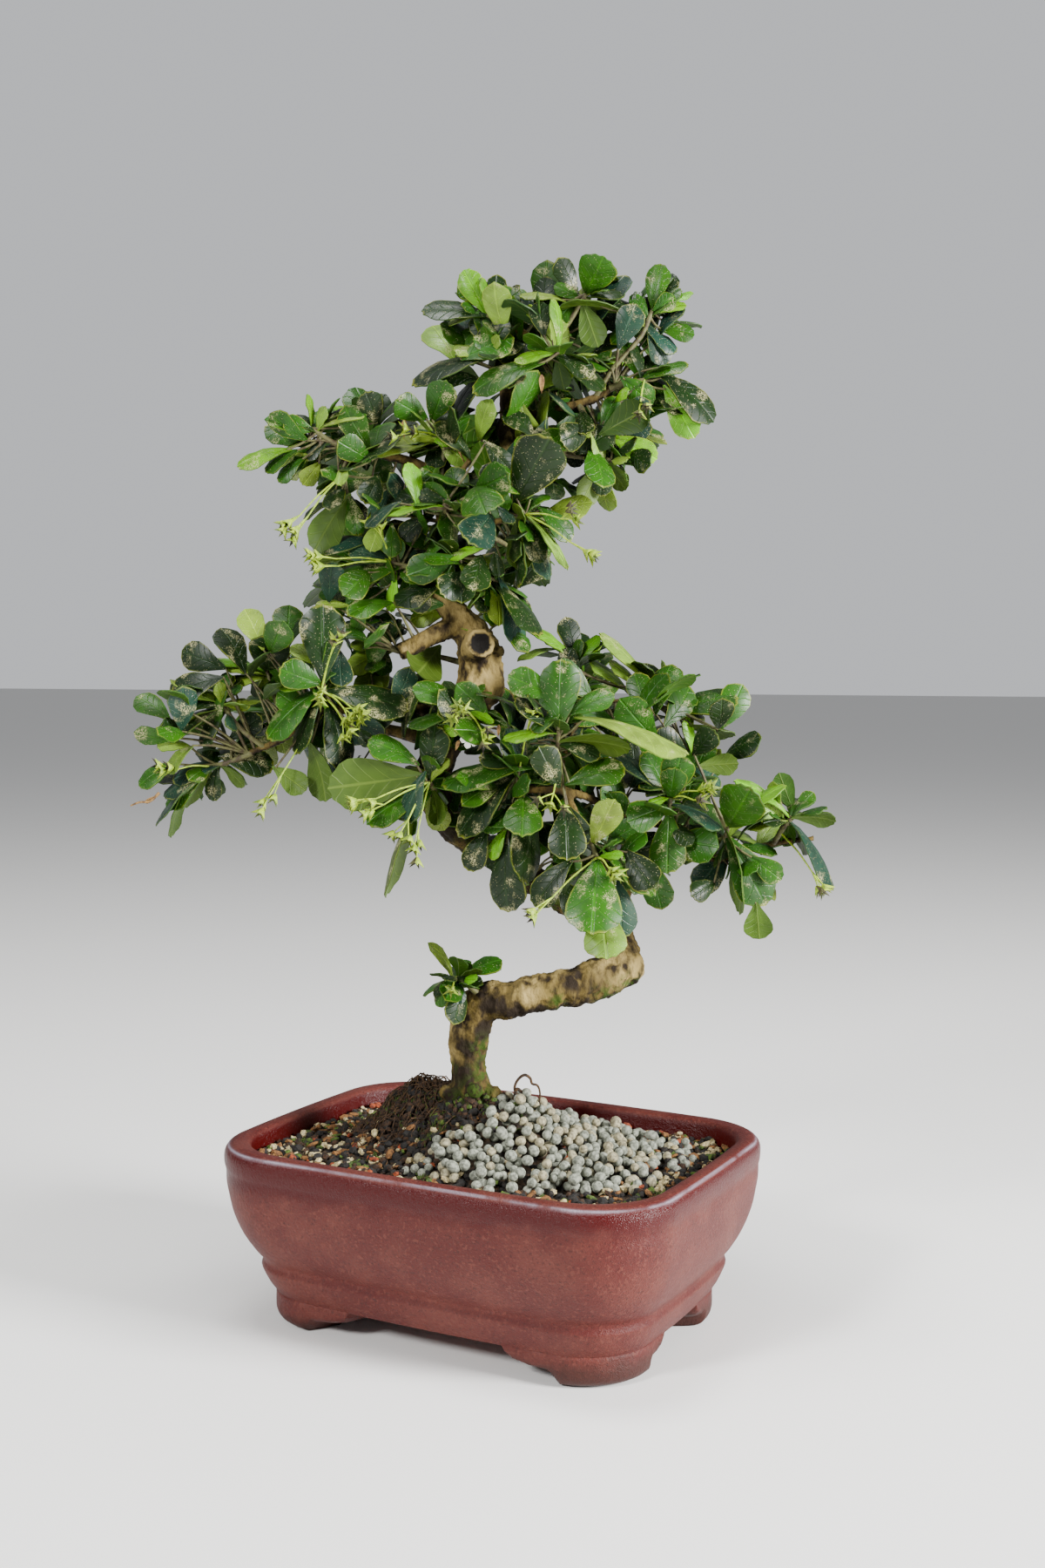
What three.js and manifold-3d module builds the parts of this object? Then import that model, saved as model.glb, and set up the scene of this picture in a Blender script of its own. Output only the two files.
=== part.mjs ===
// Fukien tea bonsai in its glazed pot. Millimetres, +Z up, +X along the pot's long side,
// the front of the pot towards -Y. The origin is the bottom centre of the whole object's box.
import * as THREE from "three";
import { mergeVertices } from "three/addons/utils/BufferGeometryUtils.js";
import Module from "manifold-3d";

const wasm = await Module();
wasm.setup();

// Driving dimensions of the pot, in millimetres
const POT = {
  halfLength: 80,
  halfWidth: 58.8,
  cornerRadius: 24.5,
  sideBow: 2.4,
  drainRadius: 6,
  drainSpacing: 54,
  drainReach: 15, // half the length of a drain hole's cut
};
const QUADRANT = { side: 2, corner: 3, end: 2 };
const SEAT = 0.4; // clearance between neighbouring pieces
const FINE = 0.28; // how far smoothing may move a face
const GRID = 0.001;

// The pot's wall: [inset from the rim's outline, height], from the base's centre up the outside,
// over the lip and down the inside
const POT_PROFILE = [
  [null, 9.8], [13.4, 9.8], [11.6, 13], [9.5, 17.4], [9.2, 18.9], [10.2, 19.9], [8.7, 23.8],
  [5.9, 29.6], [3.2, 37], [0.9, 46.4], [0.9, 50.2], [0, 51.8], [0, 56.6], [1.2, 58.8], [3, 59.4],
  [6, 59], [6.9, 57.6],
];
const INNER_WALL = [[8.4, 44], [13.2, 24], [17.6, 15.2]];
// The foot ring before its openings are cut
const FOOT_PROFILE = [
  [13.2, 9.9], [13.4, 4.6], [14.7, 1.9], [18.2, 0], [25, 0], [26, 9.9],
];
// Half of the opening between two cloud feet, [along the side, height], and its share on the ends
const FOOT_OPENING = [
  [46, -1], [45.6, 1.8], [43, 3.9], [36.5, 4.4], [31, 5.6], [28.2, 7.8], [27.4, 9.8],
];
const END_OPENING_SHARE = 0.48;

// The soil: its height at the wall, and mounds of [x, y, rise, spread]
const SOIL_EDGE = 53;
const SOIL_RINGS = [7.7, 13, 20, 28, 37, 47];
const MOUNDS = [[-7, -3, 15, 25], [-33, -2, 9, 15], [14, -8, 10, 20]];
const HEAP = {
  x: 20, y: -11, halfX: 40, halfY: 33, depth: 1.2, under: 3, grains: 13, grain: 2.3, reach: 0.93,
};
const CRUMBS = { count: 12, size: 1.8, spanX: 128, spanY: 88, clearOfHeap: 1.1, sink: 0.7 };
const GOLDEN_ANGLE = 2.39996; // turns a spiral's steps so that they spread evenly

// The view in which the plant's places were read: a frame of 1200 x 1800 px, focal length in px,
// pitch and the pot's turn in degrees, and the eye's place from the pot's centre in millimetres
const VIEW = {
  midX: 600, midY: 900, focal: 2000, pitch: 3.87, turn: -27.9, back: 565, up: 213.9, aside: 9.4,
};
const PITCH = THREE.MathUtils.degToRad(VIEW.pitch);
const TURN = THREE.MathUtils.degToRad(VIEW.turn);
const UP = new THREE.Vector3(0, 0, 1);

// The point seen at px, py that lies `toward` millimetres nearer than the pot's centre
function seen(px, py, toward) {
  const right = (px - VIEW.midX) / VIEW.focal;
  const rise = (VIEW.midY - py) / VIEW.focal;
  const ahead = Math.cos(PITCH) + Math.sin(PITCH) * rise;
  const reach = (VIEW.back - toward) / ahead;
  const x = right * reach + VIEW.aside;
  const y = ahead * reach - VIEW.back;
  const z = (Math.cos(PITCH) * rise - Math.sin(PITCH)) * reach + VIEW.up;
  return new THREE.Vector3(
    x * Math.cos(TURN) + y * Math.sin(TURN),
    y * Math.cos(TURN) - x * Math.sin(TURN),
    z,
  );
}

// Millimetres that one pixel covers at a depth
function scaleAt(toward) {
  return (VIEW.back - toward) / VIEW.focal;
}

const EYE = new THREE.Vector3(
  VIEW.aside * Math.cos(TURN) - VIEW.back * Math.sin(TURN),
  -VIEW.aside * Math.sin(TURN) - VIEW.back * Math.cos(TURN),
  VIEW.up,
);

// A repeatable draw between 0 and 1
let seed = 7;
function draw() {
  seed = (seed * 16807) % 2147483647;
  return seed / 2147483647;
}

// A closed geometry as a solid, turned outwards
function solidOf(geometry) {
  const bare = geometry.clone();
  bare.deleteAttribute("normal");
  bare.deleteAttribute("uv");
  const merged = mergeVertices(bare, 1e-4);
  const kept = [];
  const index = merged.index.array;
  for (let i = 0; i < index.length; i += 3) {
    const [a, b, c] = [index[i], index[i + 1], index[i + 2]];
    if (a !== b && b !== c && c !== a) kept.push(a, b, c);
  }
  const vertProperties = merged.attributes.position.array;
  const make = (list) => new wasm.Manifold(
    new wasm.Mesh({ numProp: 3, vertProperties, triVerts: new Uint32Array(list) }),
  );
  const made = make(kept);
  if (made.volume() > 0) return made;
  const turned = [];
  for (let i = 0; i < kept.length; i += 3) turned.push(kept[i], kept[i + 2], kept[i + 1]);
  return make(turned);
}

function joined(solids) {
  return wasm.Manifold.union(solids);
}

// Shares of a smoothing limit, in the order in which they are tried
const SMOOTHING_SHARES = [1, 1.3, 0.8, 1.6, 0.6, 0.4, 2, 0.2, 0.1, 0.02];

// The largest body of a solid that a cut may have split, with the cuts' slivers smoothed away
function largest(solid, fine = FINE) {
  const most = (bodies) => bodies.reduce((a, b) => (a.volume() > b.volume() ? a : b));
  const body = most(solid.decompose()).asOriginal();
  for (const share of SMOOTHING_SHARES) {
    const snapped = onGrid(most(body.simplify(fine * share).decompose()));
    if (snapped) return snapped;
  }
  throw new Error("a solid doesn't close on the grid");
}

// A solid with its corners on a fine grid, or null where two of its sheets then share an edge
function onGrid(solid) {
  const { vertProperties: place, triVerts } = solid.getMesh();
  const corners = new Map();
  const names = [];
  for (let i = 0; i < place.length; i += 3) {
    const key = [0, 1, 2].map((axis) => Math.round(place[i + axis] / GRID)).join();
    if (!corners.has(key)) corners.set(key, corners.size);
    names.push(corners.get(key));
  }
  const edges = new Map();
  const kept = [];
  for (let i = 0; i < triVerts.length; i += 3) {
    const face = [0, 1, 2].map((k) => names[triVerts[i + k]]);
    if (new Set(face).size < 3) continue;
    kept.push(...face);
    face.forEach((from, k) => {
      const to = face[(k + 1) % 3];
      const key = Math.min(from, to) * corners.size + Math.max(from, to);
      edges.set(key, (edges.get(key) ?? 0) + 1);
    });
  }
  if ([...edges.values()].some((faces) => faces !== 2)) return null;
  const places = [...corners.keys()].flatMap((key) => key.split(",").map((value) => value * GRID));
  const snapped = new wasm.Manifold(new wasm.Mesh({
    numProp: 3,
    vertProperties: new Float32Array(places),
    triVerts: new Uint32Array(kept),
  }));
  return snapped.decompose().length === 1 ? snapped : null;
}

function meshOf(name, solid, color, roughness) {
  const { vertProperties, triVerts } = solid.getMesh();
  const geometry = new THREE.BufferGeometry();
  geometry.setAttribute("position", new THREE.BufferAttribute(new Float32Array(vertProperties), 3));
  geometry.setIndex(new THREE.BufferAttribute(new Uint32Array(triVerts), 1));
  geometry.computeVertexNormals();
  const material = new THREE.MeshStandardMaterial({ color, roughness, metalness: 0 });
  const mesh = new THREE.Mesh(geometry, material);
  mesh.name = name;
  return mesh;
}

// Pot

// One quadrant of the pot's rounded, slightly bowed outline, from the +X side to the +Y side
function quadrantPoints(inset) {
  const a = POT.halfLength - inset - POT.sideBow;
  const b = POT.halfWidth - inset - POT.sideBow;
  const r = Math.min(POT.cornerRadius - 0.35 * inset, 0.95 * b);
  const points = [];
  for (let i = 0; i < QUADRANT.side; i++) {
    const y = ((b - r) * i) / QUADRANT.side;
    points.push([a + POT.sideBow * (1 - (y / b) ** 2), y]);
  }
  const bowAt = [POT.sideBow * (1 - ((b - r) / b) ** 2), POT.sideBow * (1 - ((a - r) / a) ** 2)];
  for (let i = 0; i <= QUADRANT.corner; i++) {
    const turn = (Math.PI / 2) * (i / QUADRANT.corner);
    const [c, s] = [Math.cos(turn), Math.sin(turn)];
    points.push([a - r + (r + bowAt[0]) * c, b - r + (r + bowAt[1]) * s]);
  }
  for (let i = QUADRANT.end - 1; i > 0; i--) {
    const x = ((a - r) * i) / QUADRANT.end;
    points.push([x, b + POT.sideBow * (1 - (x / a) ** 2)]);
  }
  return points;
}

function outline(inset) {
  const quarter = quadrantPoints(inset);
  const far = [[0, POT.halfWidth - inset], ...quarter.slice(1).reverse()].map(([x, y]) => [-x, y]);
  const half = [...quarter, ...far];
  return [...half, ...half.map(([x, y]) => [-x, -y])];
}

// A lathe whose rings follow the pot's outline: profile points are [inset, height or formula],
// with a null inset on the axis. The lathe lends its faces, and every corner is then placed.
function ringSolid(profile) {
  const rings = profile.map(([inset]) => (inset === null ? null : outline(inset)));
  const count = outline(0).length;
  const marks = profile.map(([inset], j) => new THREE.Vector2(inset === null ? 0 : 1 + j, j));
  const lathe = new THREE.LatheGeometry(marks, count);
  const place = lathe.attributes.position;
  for (let i = 0; i <= count; i++) {
    for (let j = 0; j < profile.length; j++) {
      const [x, y] = rings[j] ? rings[j][i % count] : [0, 0];
      const height = profile[j][1];
      place.setXYZ(i * profile.length + j, x, y, typeof height === "function" ? height(x, y) : height);
    }
  }
  return solidOf(lathe);
}

function closedRing(profile) {
  return ringSolid([...profile, profile[0]]);
}

// The opening between two feet, as a bar along Y or along X
function footOpening(share, alongX) {
  const half = FOOT_OPENING.map(([along, height]) => [along * share, height]);
  const points = [...half, ...half.map(([along, height]) => [-along, height]).reverse()];
  const shape = new THREE.Shape(points.map(([x, y]) => new THREE.Vector2(x, y)));
  const depth = 4 * POT.halfLength;
  const bar = new THREE.ExtrudeGeometry(shape, { depth, bevelEnabled: false });
  bar.translate(0, 0, -depth / 2);
  bar.rotateX(Math.PI / 2);
  if (alongX) bar.rotateZ(Math.PI / 2);
  return solidOf(bar);
}

function makePot() {
  let feet = closedRing(FOOT_PROFILE);
  feet = feet.subtract(footOpening(1, false)).subtract(footOpening(END_OPENING_SHARE, true));
  const floor = INNER_WALL[INNER_WALL.length - 1][1];
  let pot = ringSolid([...POT_PROFILE, ...INNER_WALL, [null, floor]]).add(feet);
  for (const side of [-1, 1]) {
    const drain = new THREE.CylinderGeometry(POT.drainRadius, POT.drainRadius, 2 * POT.drainReach, 14);
    drain.rotateX(Math.PI / 2);
    drain.translate((side * POT.drainSpacing) / 2, 0, floor - POT.drainReach / 3);
    pot = pot.subtract(solidOf(drain));
  }
  return largest(pot, 0.1);
}

// Limbs

// A tapered round limb through stations of [px, py, toward, width in px]. `grow` widens it for a
// clearance cut, and `relief` raises bark ridges on it.
function limb(stations, { sides = 8, grow = 0, relief = 0 } = {}) {
  const centres = stations.map(([px, py, toward]) => seen(px, py, toward));
  const radii = stations.map(([, , toward, width]) => (width / 2) * scaleAt(toward));
  return tube(centres, radii, { sides, grow, relief });
}

function tube(centres, radii, { sides = 3, grow = 0, relief = 0 } = {}) {
  const steps = centres.length - 1;
  const curve = new THREE.CatmullRomCurve3(centres, false, "centripetal");
  const rings = [];
  let across = null;
  for (let i = 0; i <= steps; i++) {
    const t = i / steps;
    const along = curve.getTangent(t);
    across = (across ?? new THREE.Vector3().crossVectors(along, UP)).clone();
    if (across.lengthSq() < 0.02) across.set(1, 0.2, 0);
    across.addScaledVector(along, -across.dot(along)).normalize();
    rings.push({ centre: curve.getPoint(t), across, over: across.clone().cross(along), radius: radii[i] });
  }
  if (grow > 0) {
    // The grown limb's ends reach past the limb's own
    const past = (i, j) => rings[i].centre.clone().sub(rings[j].centre).setLength(grow);
    const [first, last] = [past(0, 1), past(steps, steps - 1)];
    rings[0].centre.add(first);
    rings[steps].centre.add(last);
  }
  const bare = new THREE.CylinderGeometry(1, 1, 1, sides, steps);
  const place = bare.attributes.position;
  for (let k = 0; k < place.count; k++) {
    const i = Math.round((place.getY(k) + 0.5) * steps);
    const { centre, across: side, over, radius } = rings[i];
    const [x, z] = [place.getX(k), place.getZ(k)];
    const angle = Math.atan2(z, x);
    const ridge = 1 + relief * (Math.sin(3 * angle + i * 0.9) + 0.6 * Math.sin(5 * angle - i * 1.7));
    const size = radius * ridge + grow;
    const point = centre.clone().addScaledVector(side, x * size).addScaledVector(over, -z * size);
    place.setXYZ(k, point.x, point.y, point.z);
  }
  return solidOf(bare);
}

// A burl: a rough ball at px, py, of a width in px
function burl([px, py, toward, width, flat = 1], grow = 0) {
  const ball = new THREE.IcosahedronGeometry((width / 2) * scaleAt(toward) + grow, 1);
  const at = seen(px, py, toward);
  ball.scale(1, 1, flat);
  ball.translate(at.x, at.y, at.z);
  return solidOf(ball);
}

// Stations are [px, py, toward, width in px]
const TRUNK = [
  [540, 1312, 0, 36], [539, 1290, 0, 44], [539, 1266, 0, 50], [539, 1243, 0, 44], [538, 1220, 0, 43],
  [538, 1200, 0, 47], [540, 1180, 1, 51], [547, 1160, 2, 49], [560, 1148, 3, 46], [580, 1149, 4, 45],
  [610, 1141, 5, 44], [640, 1136, 4, 45], [665, 1131, 2, 46], [690, 1122, 0, 52], [710, 1108, -3, 52],
  [713, 1085, -6, 38], [700, 1064, -8, 34], [665, 1043, -8, 34], [618, 1013, -6, 34],
  [572, 984, -4, 36], [530, 956, -1, 38], [504, 926, 0, 40], [497, 894, 1, 42], [507, 860, 2, 44],
  [526, 826, 2, 48], [545, 796, 2, 53], [553, 766, 1, 53], [545, 736, 0, 46], [528, 711, 0, 37],
  [510, 687, 0, 29], [502, 660, 0, 24], [506, 632, 0, 24], [514, 606, 0, 27], [531, 580, 0, 26],
  [552, 558, 0, 26], [572, 535, 0, 27], [587, 512, 0, 32], [590, 490, 0, 36], [587, 466, 0, 28],
  [584, 441, 0, 21], [592, 418, 0, 18], [606, 396, 0, 15],
];
const BRANCHES = [
  // upper left
  [[505, 634, 0, 19], [507, 600, 0, 15], [506, 562, 0, 14], [492, 540, 0, 13], [470, 530, 0, 12],
    [435, 521, 0, 11], [400, 514, 0, 10]],
  // lower left
  [[530, 838, 2, 24], [502, 822, 3, 17], [470, 811, 4, 14], [420, 815, 6, 12], [372, 817, 8, 11],
    [345, 833, 6, 10], [325, 848, 4, 9], [285, 865, 2, 8]],
  // the apex, to the left, forward and up
  [[602, 402, 0, 13], [606, 386, 1, 10], [588, 376, 2, 8]],
  [[594, 412, 1, 14], [612, 412, 4, 9]],
  [[604, 398, 0, 12], [636, 392, 0, 8]],
  // upper right
  [[588, 480, 0, 22], [612, 478, 0, 15], [640, 470, 0, 13], [668, 463, 1, 12], [688, 455, 1, 10],
    [706, 442, 2, 9]],
  [[586, 510, 1, 15], [610, 517, 1, 11], [640, 521, 2, 9]],
  // centre right, toward the front
  [[520, 596, 2, 15], [556, 602, 8, 10], [578, 597, 12, 8]],
  // front pad and its twigs
  [[532, 952, 2, 22], [550, 926, 8, 15], [580, 907, 14, 13], [612, 906, 18, 11], [645, 908, 22, 10],
    [672, 914, 20, 10], [700, 928, 17, 10], [735, 940, 15, 10], [768, 951, 13, 9], [790, 966, 10, 9],
    [822, 987, 6, 9], [850, 978, 4, 8], [880, 970, 3, 8], [935, 962, 1, 7]],
  [[644, 908, 22, 8], [646, 880, 21, 7], [654, 850, 17, 6], [670, 822, 11, 6], [700, 806, 6, 6],
    [735, 803, 3, 6]],
  [[650, 910, 22, 8], [668, 946, 26, 8]],
  // toward the back
  [[585, 440, 0, 15], [600, 425, -12, 9], [640, 425, -26, 6]],
  [[590, 500, 0, 18], [630, 500, -14, 10], [680, 488, -30, 6]],
  [[508, 585, 0, 13], [482, 545, -14, 9], [440, 515, -28, 6]],
  [[504, 668, 0, 18], [480, 655, -14, 10], [432, 655, -28, 6]],
  [[522, 595, 0, 18], [548, 610, -14, 10], [575, 622, -26, 6]],
  [[500, 850, 1, 22], [430, 835, -14, 11], [345, 825, -28, 6]],
  [[512, 938, 0, 22], [560, 915, -16, 11], [605, 900, -30, 6]],
  [[700, 1064, -8, 22], [735, 990, -18, 11], [778, 930, -26, 6]],
  [[665, 1043, -8, 22], [672, 1020, -22, 11], [682, 1000, -34, 6]],
  [[552, 790, 0, 24], [595, 800, -18, 11], [640, 800, -34, 6]],
];
// Pruned ends: a sawn left stub, a pruned twig, the hollow stub that faces the front
const STUBS = [
  [[516, 722, 2, 26], [494, 731, 5, 22], [474, 742, 7, 21], [458, 749, 8, 22]],
  [[534, 574, 2, 11], [526, 552, 3, 8], [540, 527, 4, 8], [555, 505, 5, 7]],
  [[545, 746, 0, 44], [549, 741, 8, 38], [552, 738, 13, 35]],
];
const STUB_HOLLOW = [553, 737, 15, 25];
const BURLS = [
  [716, 1108, -3, 50], [590, 492, 0, 40], [571, 747, 5, 16], [560, 785, 3, 40, 1.3],
  [513, 1254, 3, 18], [566, 1256, 3, 22], [545, 1252, 9, 20], [500, 870, 3, 34, 1.2],
];

const THICK = 16; // width in px from which a branch has six sides

function makeTrunk(grow) {
  const parts = [limb(TRUNK, { grow, relief: 0.05 })];
  for (const stations of BRANCHES) {
    const thick = stations[0][3] > THICK;
    parts.push(limb(stations, { sides: thick ? 6 : 4, grow, relief: 0.03 }));
  }
  for (const stations of STUBS) parts.push(limb(stations, { sides: 7, grow }));
  for (const place of BURLS) parts.push(burl(place, grow));
  const trunk = joined(parts);
  return grow > 0 ? trunk : largest(trunk.subtract(burl(STUB_HOLLOW)), 0.25);
}

// Soil, crumbs and pellets

function soilHeight(x, y) {
  let rise = 0;
  for (const [mx, my, height, spread] of MOUNDS) {
    rise += height * Math.exp(-((x - mx) ** 2 + (y - my) ** 2) / (spread * spread));
  }
  const grit = 0.5 * Math.sin(x * 0.61 + y * 0.23) + 0.5 * Math.sin(y * 0.57 - x * 0.31);
  return SOIL_EDGE + Math.min(rise, 18) + grit;
}

function grain(x, y, size, sink) {
  const ball = new THREE.IcosahedronGeometry(size, 0);
  ball.rotateX(draw() * 3);
  ball.rotateZ(draw() * 3);
  ball.translate(x, y, soilHeight(x, y) + size * (1 - sink));
  return solidOf(ball);
}

function makeSoil(trunkCut) {
  const wall = INNER_WALL.map(([inset, height]) => [inset + SEAT, height]).reverse();
  wall[0][1] += SEAT;
  const top = SOIL_RINGS.map((inset) => [inset + SEAT, soilHeight]);
  const body = ringSolid([
    [null, wall[0][1]],
    ...wall,
    ...top,
    [null, soilHeight],
  ]);
  const crumbs = [];
  while (crumbs.length < CRUMBS.count) {
    const [x, y] = [(draw() - 0.5) * CRUMBS.spanX, (draw() - 0.5) * CRUMBS.spanY];
    const apart = Math.hypot((x - HEAP.x) / HEAP.halfX, (y - HEAP.y) / HEAP.halfY);
    if (apart < CRUMBS.clearOfHeap) continue;
    crumbs.push(grain(x, y, CRUMBS.size * (0.7 + 0.6 * draw()), CRUMBS.sink));
  }
  return largest(joined([body, ...crumbs]).subtract(trunkCut), 0.3);
}

// The heap of pale pellets on the right, on the soil
function makeHeap(soil, trunkCut) {
  const crust = new THREE.SphereGeometry(1, 20, 8);
  const place = crust.attributes.position;
  for (let k = 0; k < place.count; k++) {
    const [u, v, w] = [place.getX(k), place.getY(k), place.getZ(k)];
    const [x, y] = [HEAP.x + u * HEAP.halfX, HEAP.y + v * HEAP.halfY];
    place.setXYZ(k, x, y, soilHeight(x, y) + w * (w > 0 ? HEAP.depth : HEAP.under));
  }
  const parts = [solidOf(crust)];
  for (let i = 0; i < HEAP.grains; i++) {
    const reach = Math.sqrt((i + 0.5) / HEAP.grains) * HEAP.reach;
    const turn = i * GOLDEN_ANGLE;
    const x = HEAP.x + HEAP.halfX * reach * Math.cos(turn);
    const y = HEAP.y + HEAP.halfY * reach * Math.sin(turn);
    parts.push(grain(x, y, HEAP.grain, 0.1));
  }
  const clear = soil.translate([0, 0, SEAT]);
  return largest(joined(parts).subtract(clear).subtract(trunkCut));
}

// Leaves

// Tones of what the view shows: a young leaf, a grown one, a dark one, a blue-glossed one, a pale
// one, and the underside of one
const TONES = { Y: 0x5f9e2c, M: 0x2f6b26, D: 0x1d3b1b, B: 0x3b5a58, P: 0x93b06a, U: 0x66753c };

// Half of a leaf's outline: [along, across], both as shares of its length and half width, from the
// stalk to the tooth at the tip
const LEAF_EDGE = [[0, 0.1], [0.45, 0.74], [0.84, 0.94], [0.89, 0.46]];
const LEAF_RIB = 0.55;
const LEAF_HALF_THICK = 0.5;
const LEAF_STEP = 1.1; // from leaf to leaf along a stem, at most
const STEM_FREE = 0.55; // share of a stem that stands clear of its branch
const STALK_RADIUS = 0.6;
const STALK_LEAST = 1.5; // a shorter stalk is left out
const STALK_IN = 0.16; // share of the blade that a stalk runs into
const LEAF_SHARE = 0.55; // width of a leaf by its length
const LEAF_BROADEST = 0.62; // the broadest that a leaf's width can be for its length
const LEAF_LEAST = 9; // length of the shortest leaf
const EDGE_DROP = 0.16; // how far a leaf's edges fall below its rib, by their distance from it
const YOUNG_SHARE = 0.85; // a young leaf's width by a grown one's
const ARCH = 0.07; // rise of a leaf's middle by its length
// Shares of a shift toward the eye that a leaf's base and, beyond it, its tip take
const SHIFT_SHARE = { base: 0.35, tip: 0.65 };
// The leaves that the view hides: their spiral round the stem's end, in radians, and their length
const SPIRAL = { start: 0.6, perShift: 0.02, spread: 0.35, perLeaf: 0.14, spreadPerShift: 0.015 };
const HIDDEN = { length: 17, step: 2.2, back: 0.085, arch: 0.08, lean: 0.35 };
const CALYX = { radius: 2, height: 3.4, sides: 4, toward: 4, stalk: [0.6, 0.5] };

// A leaf blade, two faces that share their edge, with the stalk that joins it to its root
function blade({ root, base, tip, normal, width, arch }) {
  const along = tip.clone().sub(base);
  const length = along.length();
  const side = along.clone().normalize().cross(normal).normalize();
  const face = side.clone().cross(along).normalize();
  const at = (u, v, lift) => base.clone()
    .addScaledVector(along, u)
    .addScaledVector(side, (v * width) / 2)
    .addScaledVector(face, arch * length * 4 * u * (1 - u) - (EDGE_DROP * Math.abs(v) * width) / 2 + lift);
  const half = (sign) => LEAF_EDGE.map(([u, v]) => at(u, sign * v, 0));
  const rim = [...half(1), at(1, 0, 0), ...half(-1).reverse()];
  const triangles = [];
  for (const lift of [LEAF_HALF_THICK, -LEAF_HALF_THICK]) {
    const rib = at(LEAF_RIB, 0, lift);
    rim.forEach((corner, i) => {
      const next = rim[(i + 1) % rim.length];
      triangles.push(...(lift > 0 ? [next, corner, rib] : [corner, next, rib]));
    });
  }
  const sheet = solidOf(new THREE.BufferGeometry().setFromPoints(triangles));
  if (base.distanceTo(root) < STALK_LEAST) return sheet;
  return sheet.add(tube([root, at(STALK_IN, 0, 0)], [STALK_RADIUS, STALK_RADIUS]));
}

// A leaf read in the view: its tip, its seen width, its tone and where its stalk starts. A leaf
// that looks short for its width leans toward the eye, and one that looks narrow is rolled.
function readLeaf([px, py, width, tone, basePx, basePy], bud, place, shift) {
  const depth = bud[2] + SHIFT_SHARE.base * shift;
  const base = basePx ? seen(basePx, basePy, depth) : place;
  const scale = scaleAt(depth);
  const flat = seen(px, py, depth).distanceTo(base);
  const wide = width * scale;
  const length = Math.max(flat, wide / LEAF_BROADEST, LEAF_LEAST);
  const out = Math.sqrt(length * length - flat * flat) + SHIFT_SHARE.tip * shift;
  const tip = seen(px, py, depth + out);
  const trueWidth = Math.max(wide, LEAF_SHARE * length * (tone === "Y" ? YOUNG_SHARE : 1));
  const roll = Math.acos(Math.min(1, wide / trueWidth));
  const along = tip.clone().sub(base).normalize();
  const eye = EYE.clone().sub(base);
  eye.addScaledVector(along, -eye.dot(along)).normalize();
  const over = along.clone().cross(eye);
  const facing = tone === "U" ? -1 : 1;
  const options = [1, -1].map((sign) => eye.clone().multiplyScalar(Math.cos(roll))
    .addScaledVector(over, sign * Math.sin(roll)).multiplyScalar(facing));
  const normal = options[0].z > options[1].z ? options[0] : options[1];
  const root = basePx ? place : base;
  return { root, base, tip, normal, width: trueWidth, arch: ARCH };
}

// The place of one of a stem's leaves, back along the stem's free outer part from its end
function leafPlace(path, order, count) {
  const lengths = path.slice(1).map((point, i) => point.distanceTo(path[i]));
  const free = STEM_FREE * lengths.reduce((a, b) => a + b);
  let left = order * Math.min(LEAF_STEP, free / count);
  for (let i = path.length - 1; i > 0; i--) {
    const span = path[i].distanceTo(path[i - 1]);
    if (left <= span) return path[i].clone().lerp(path[i - 1], left / span);
    left -= span;
  }
  return path[0].clone().lerp(path[1], 0.4);
}

// A leaf that the view hides, on a spiral round the stem's end
function hiddenLeaf(stem, order, shift) {
  const end = stem[stem.length - 1];
  const before = stem[stem.length - 2];
  const out = end.clone().sub(before).normalize();
  const across = new THREE.Vector3().crossVectors(out, UP).normalize();
  const over = across.clone().cross(out);
  const turn = order * GOLDEN_ANGLE + SPIRAL.start + SPIRAL.perShift * shift;
  const spread = SPIRAL.spread + SPIRAL.perLeaf * order + SPIRAL.spreadPerShift * shift;
  const along = out.clone().multiplyScalar(Math.cos(spread))
    .addScaledVector(across, Math.sin(spread) * Math.cos(turn))
    .addScaledVector(over, Math.sin(spread) * Math.sin(turn));
  const base = end.clone().lerp(before, Math.min(0.9, order * HIDDEN.back));
  const length = HIDDEN.length + HIDDEN.step * (order % 5);
  const tip = base.clone().addScaledVector(along, length);
  const normal = UP.clone().addScaledVector(out, HIDDEN.lean);
  normal.addScaledVector(along, -normal.dot(along)).normalize();
  return { root: base, base, tip, normal, width: LEAF_SHARE * length, arch: HIDDEN.arch };
}

// A front spray's hidden leaves stand round an axis that points away from the eye
function turned(path) {
  const end = path[path.length - 1];
  const away = end.clone().sub(EYE).setLength(8);
  away.z += 2;
  return [end.clone().sub(away), end];
}

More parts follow.
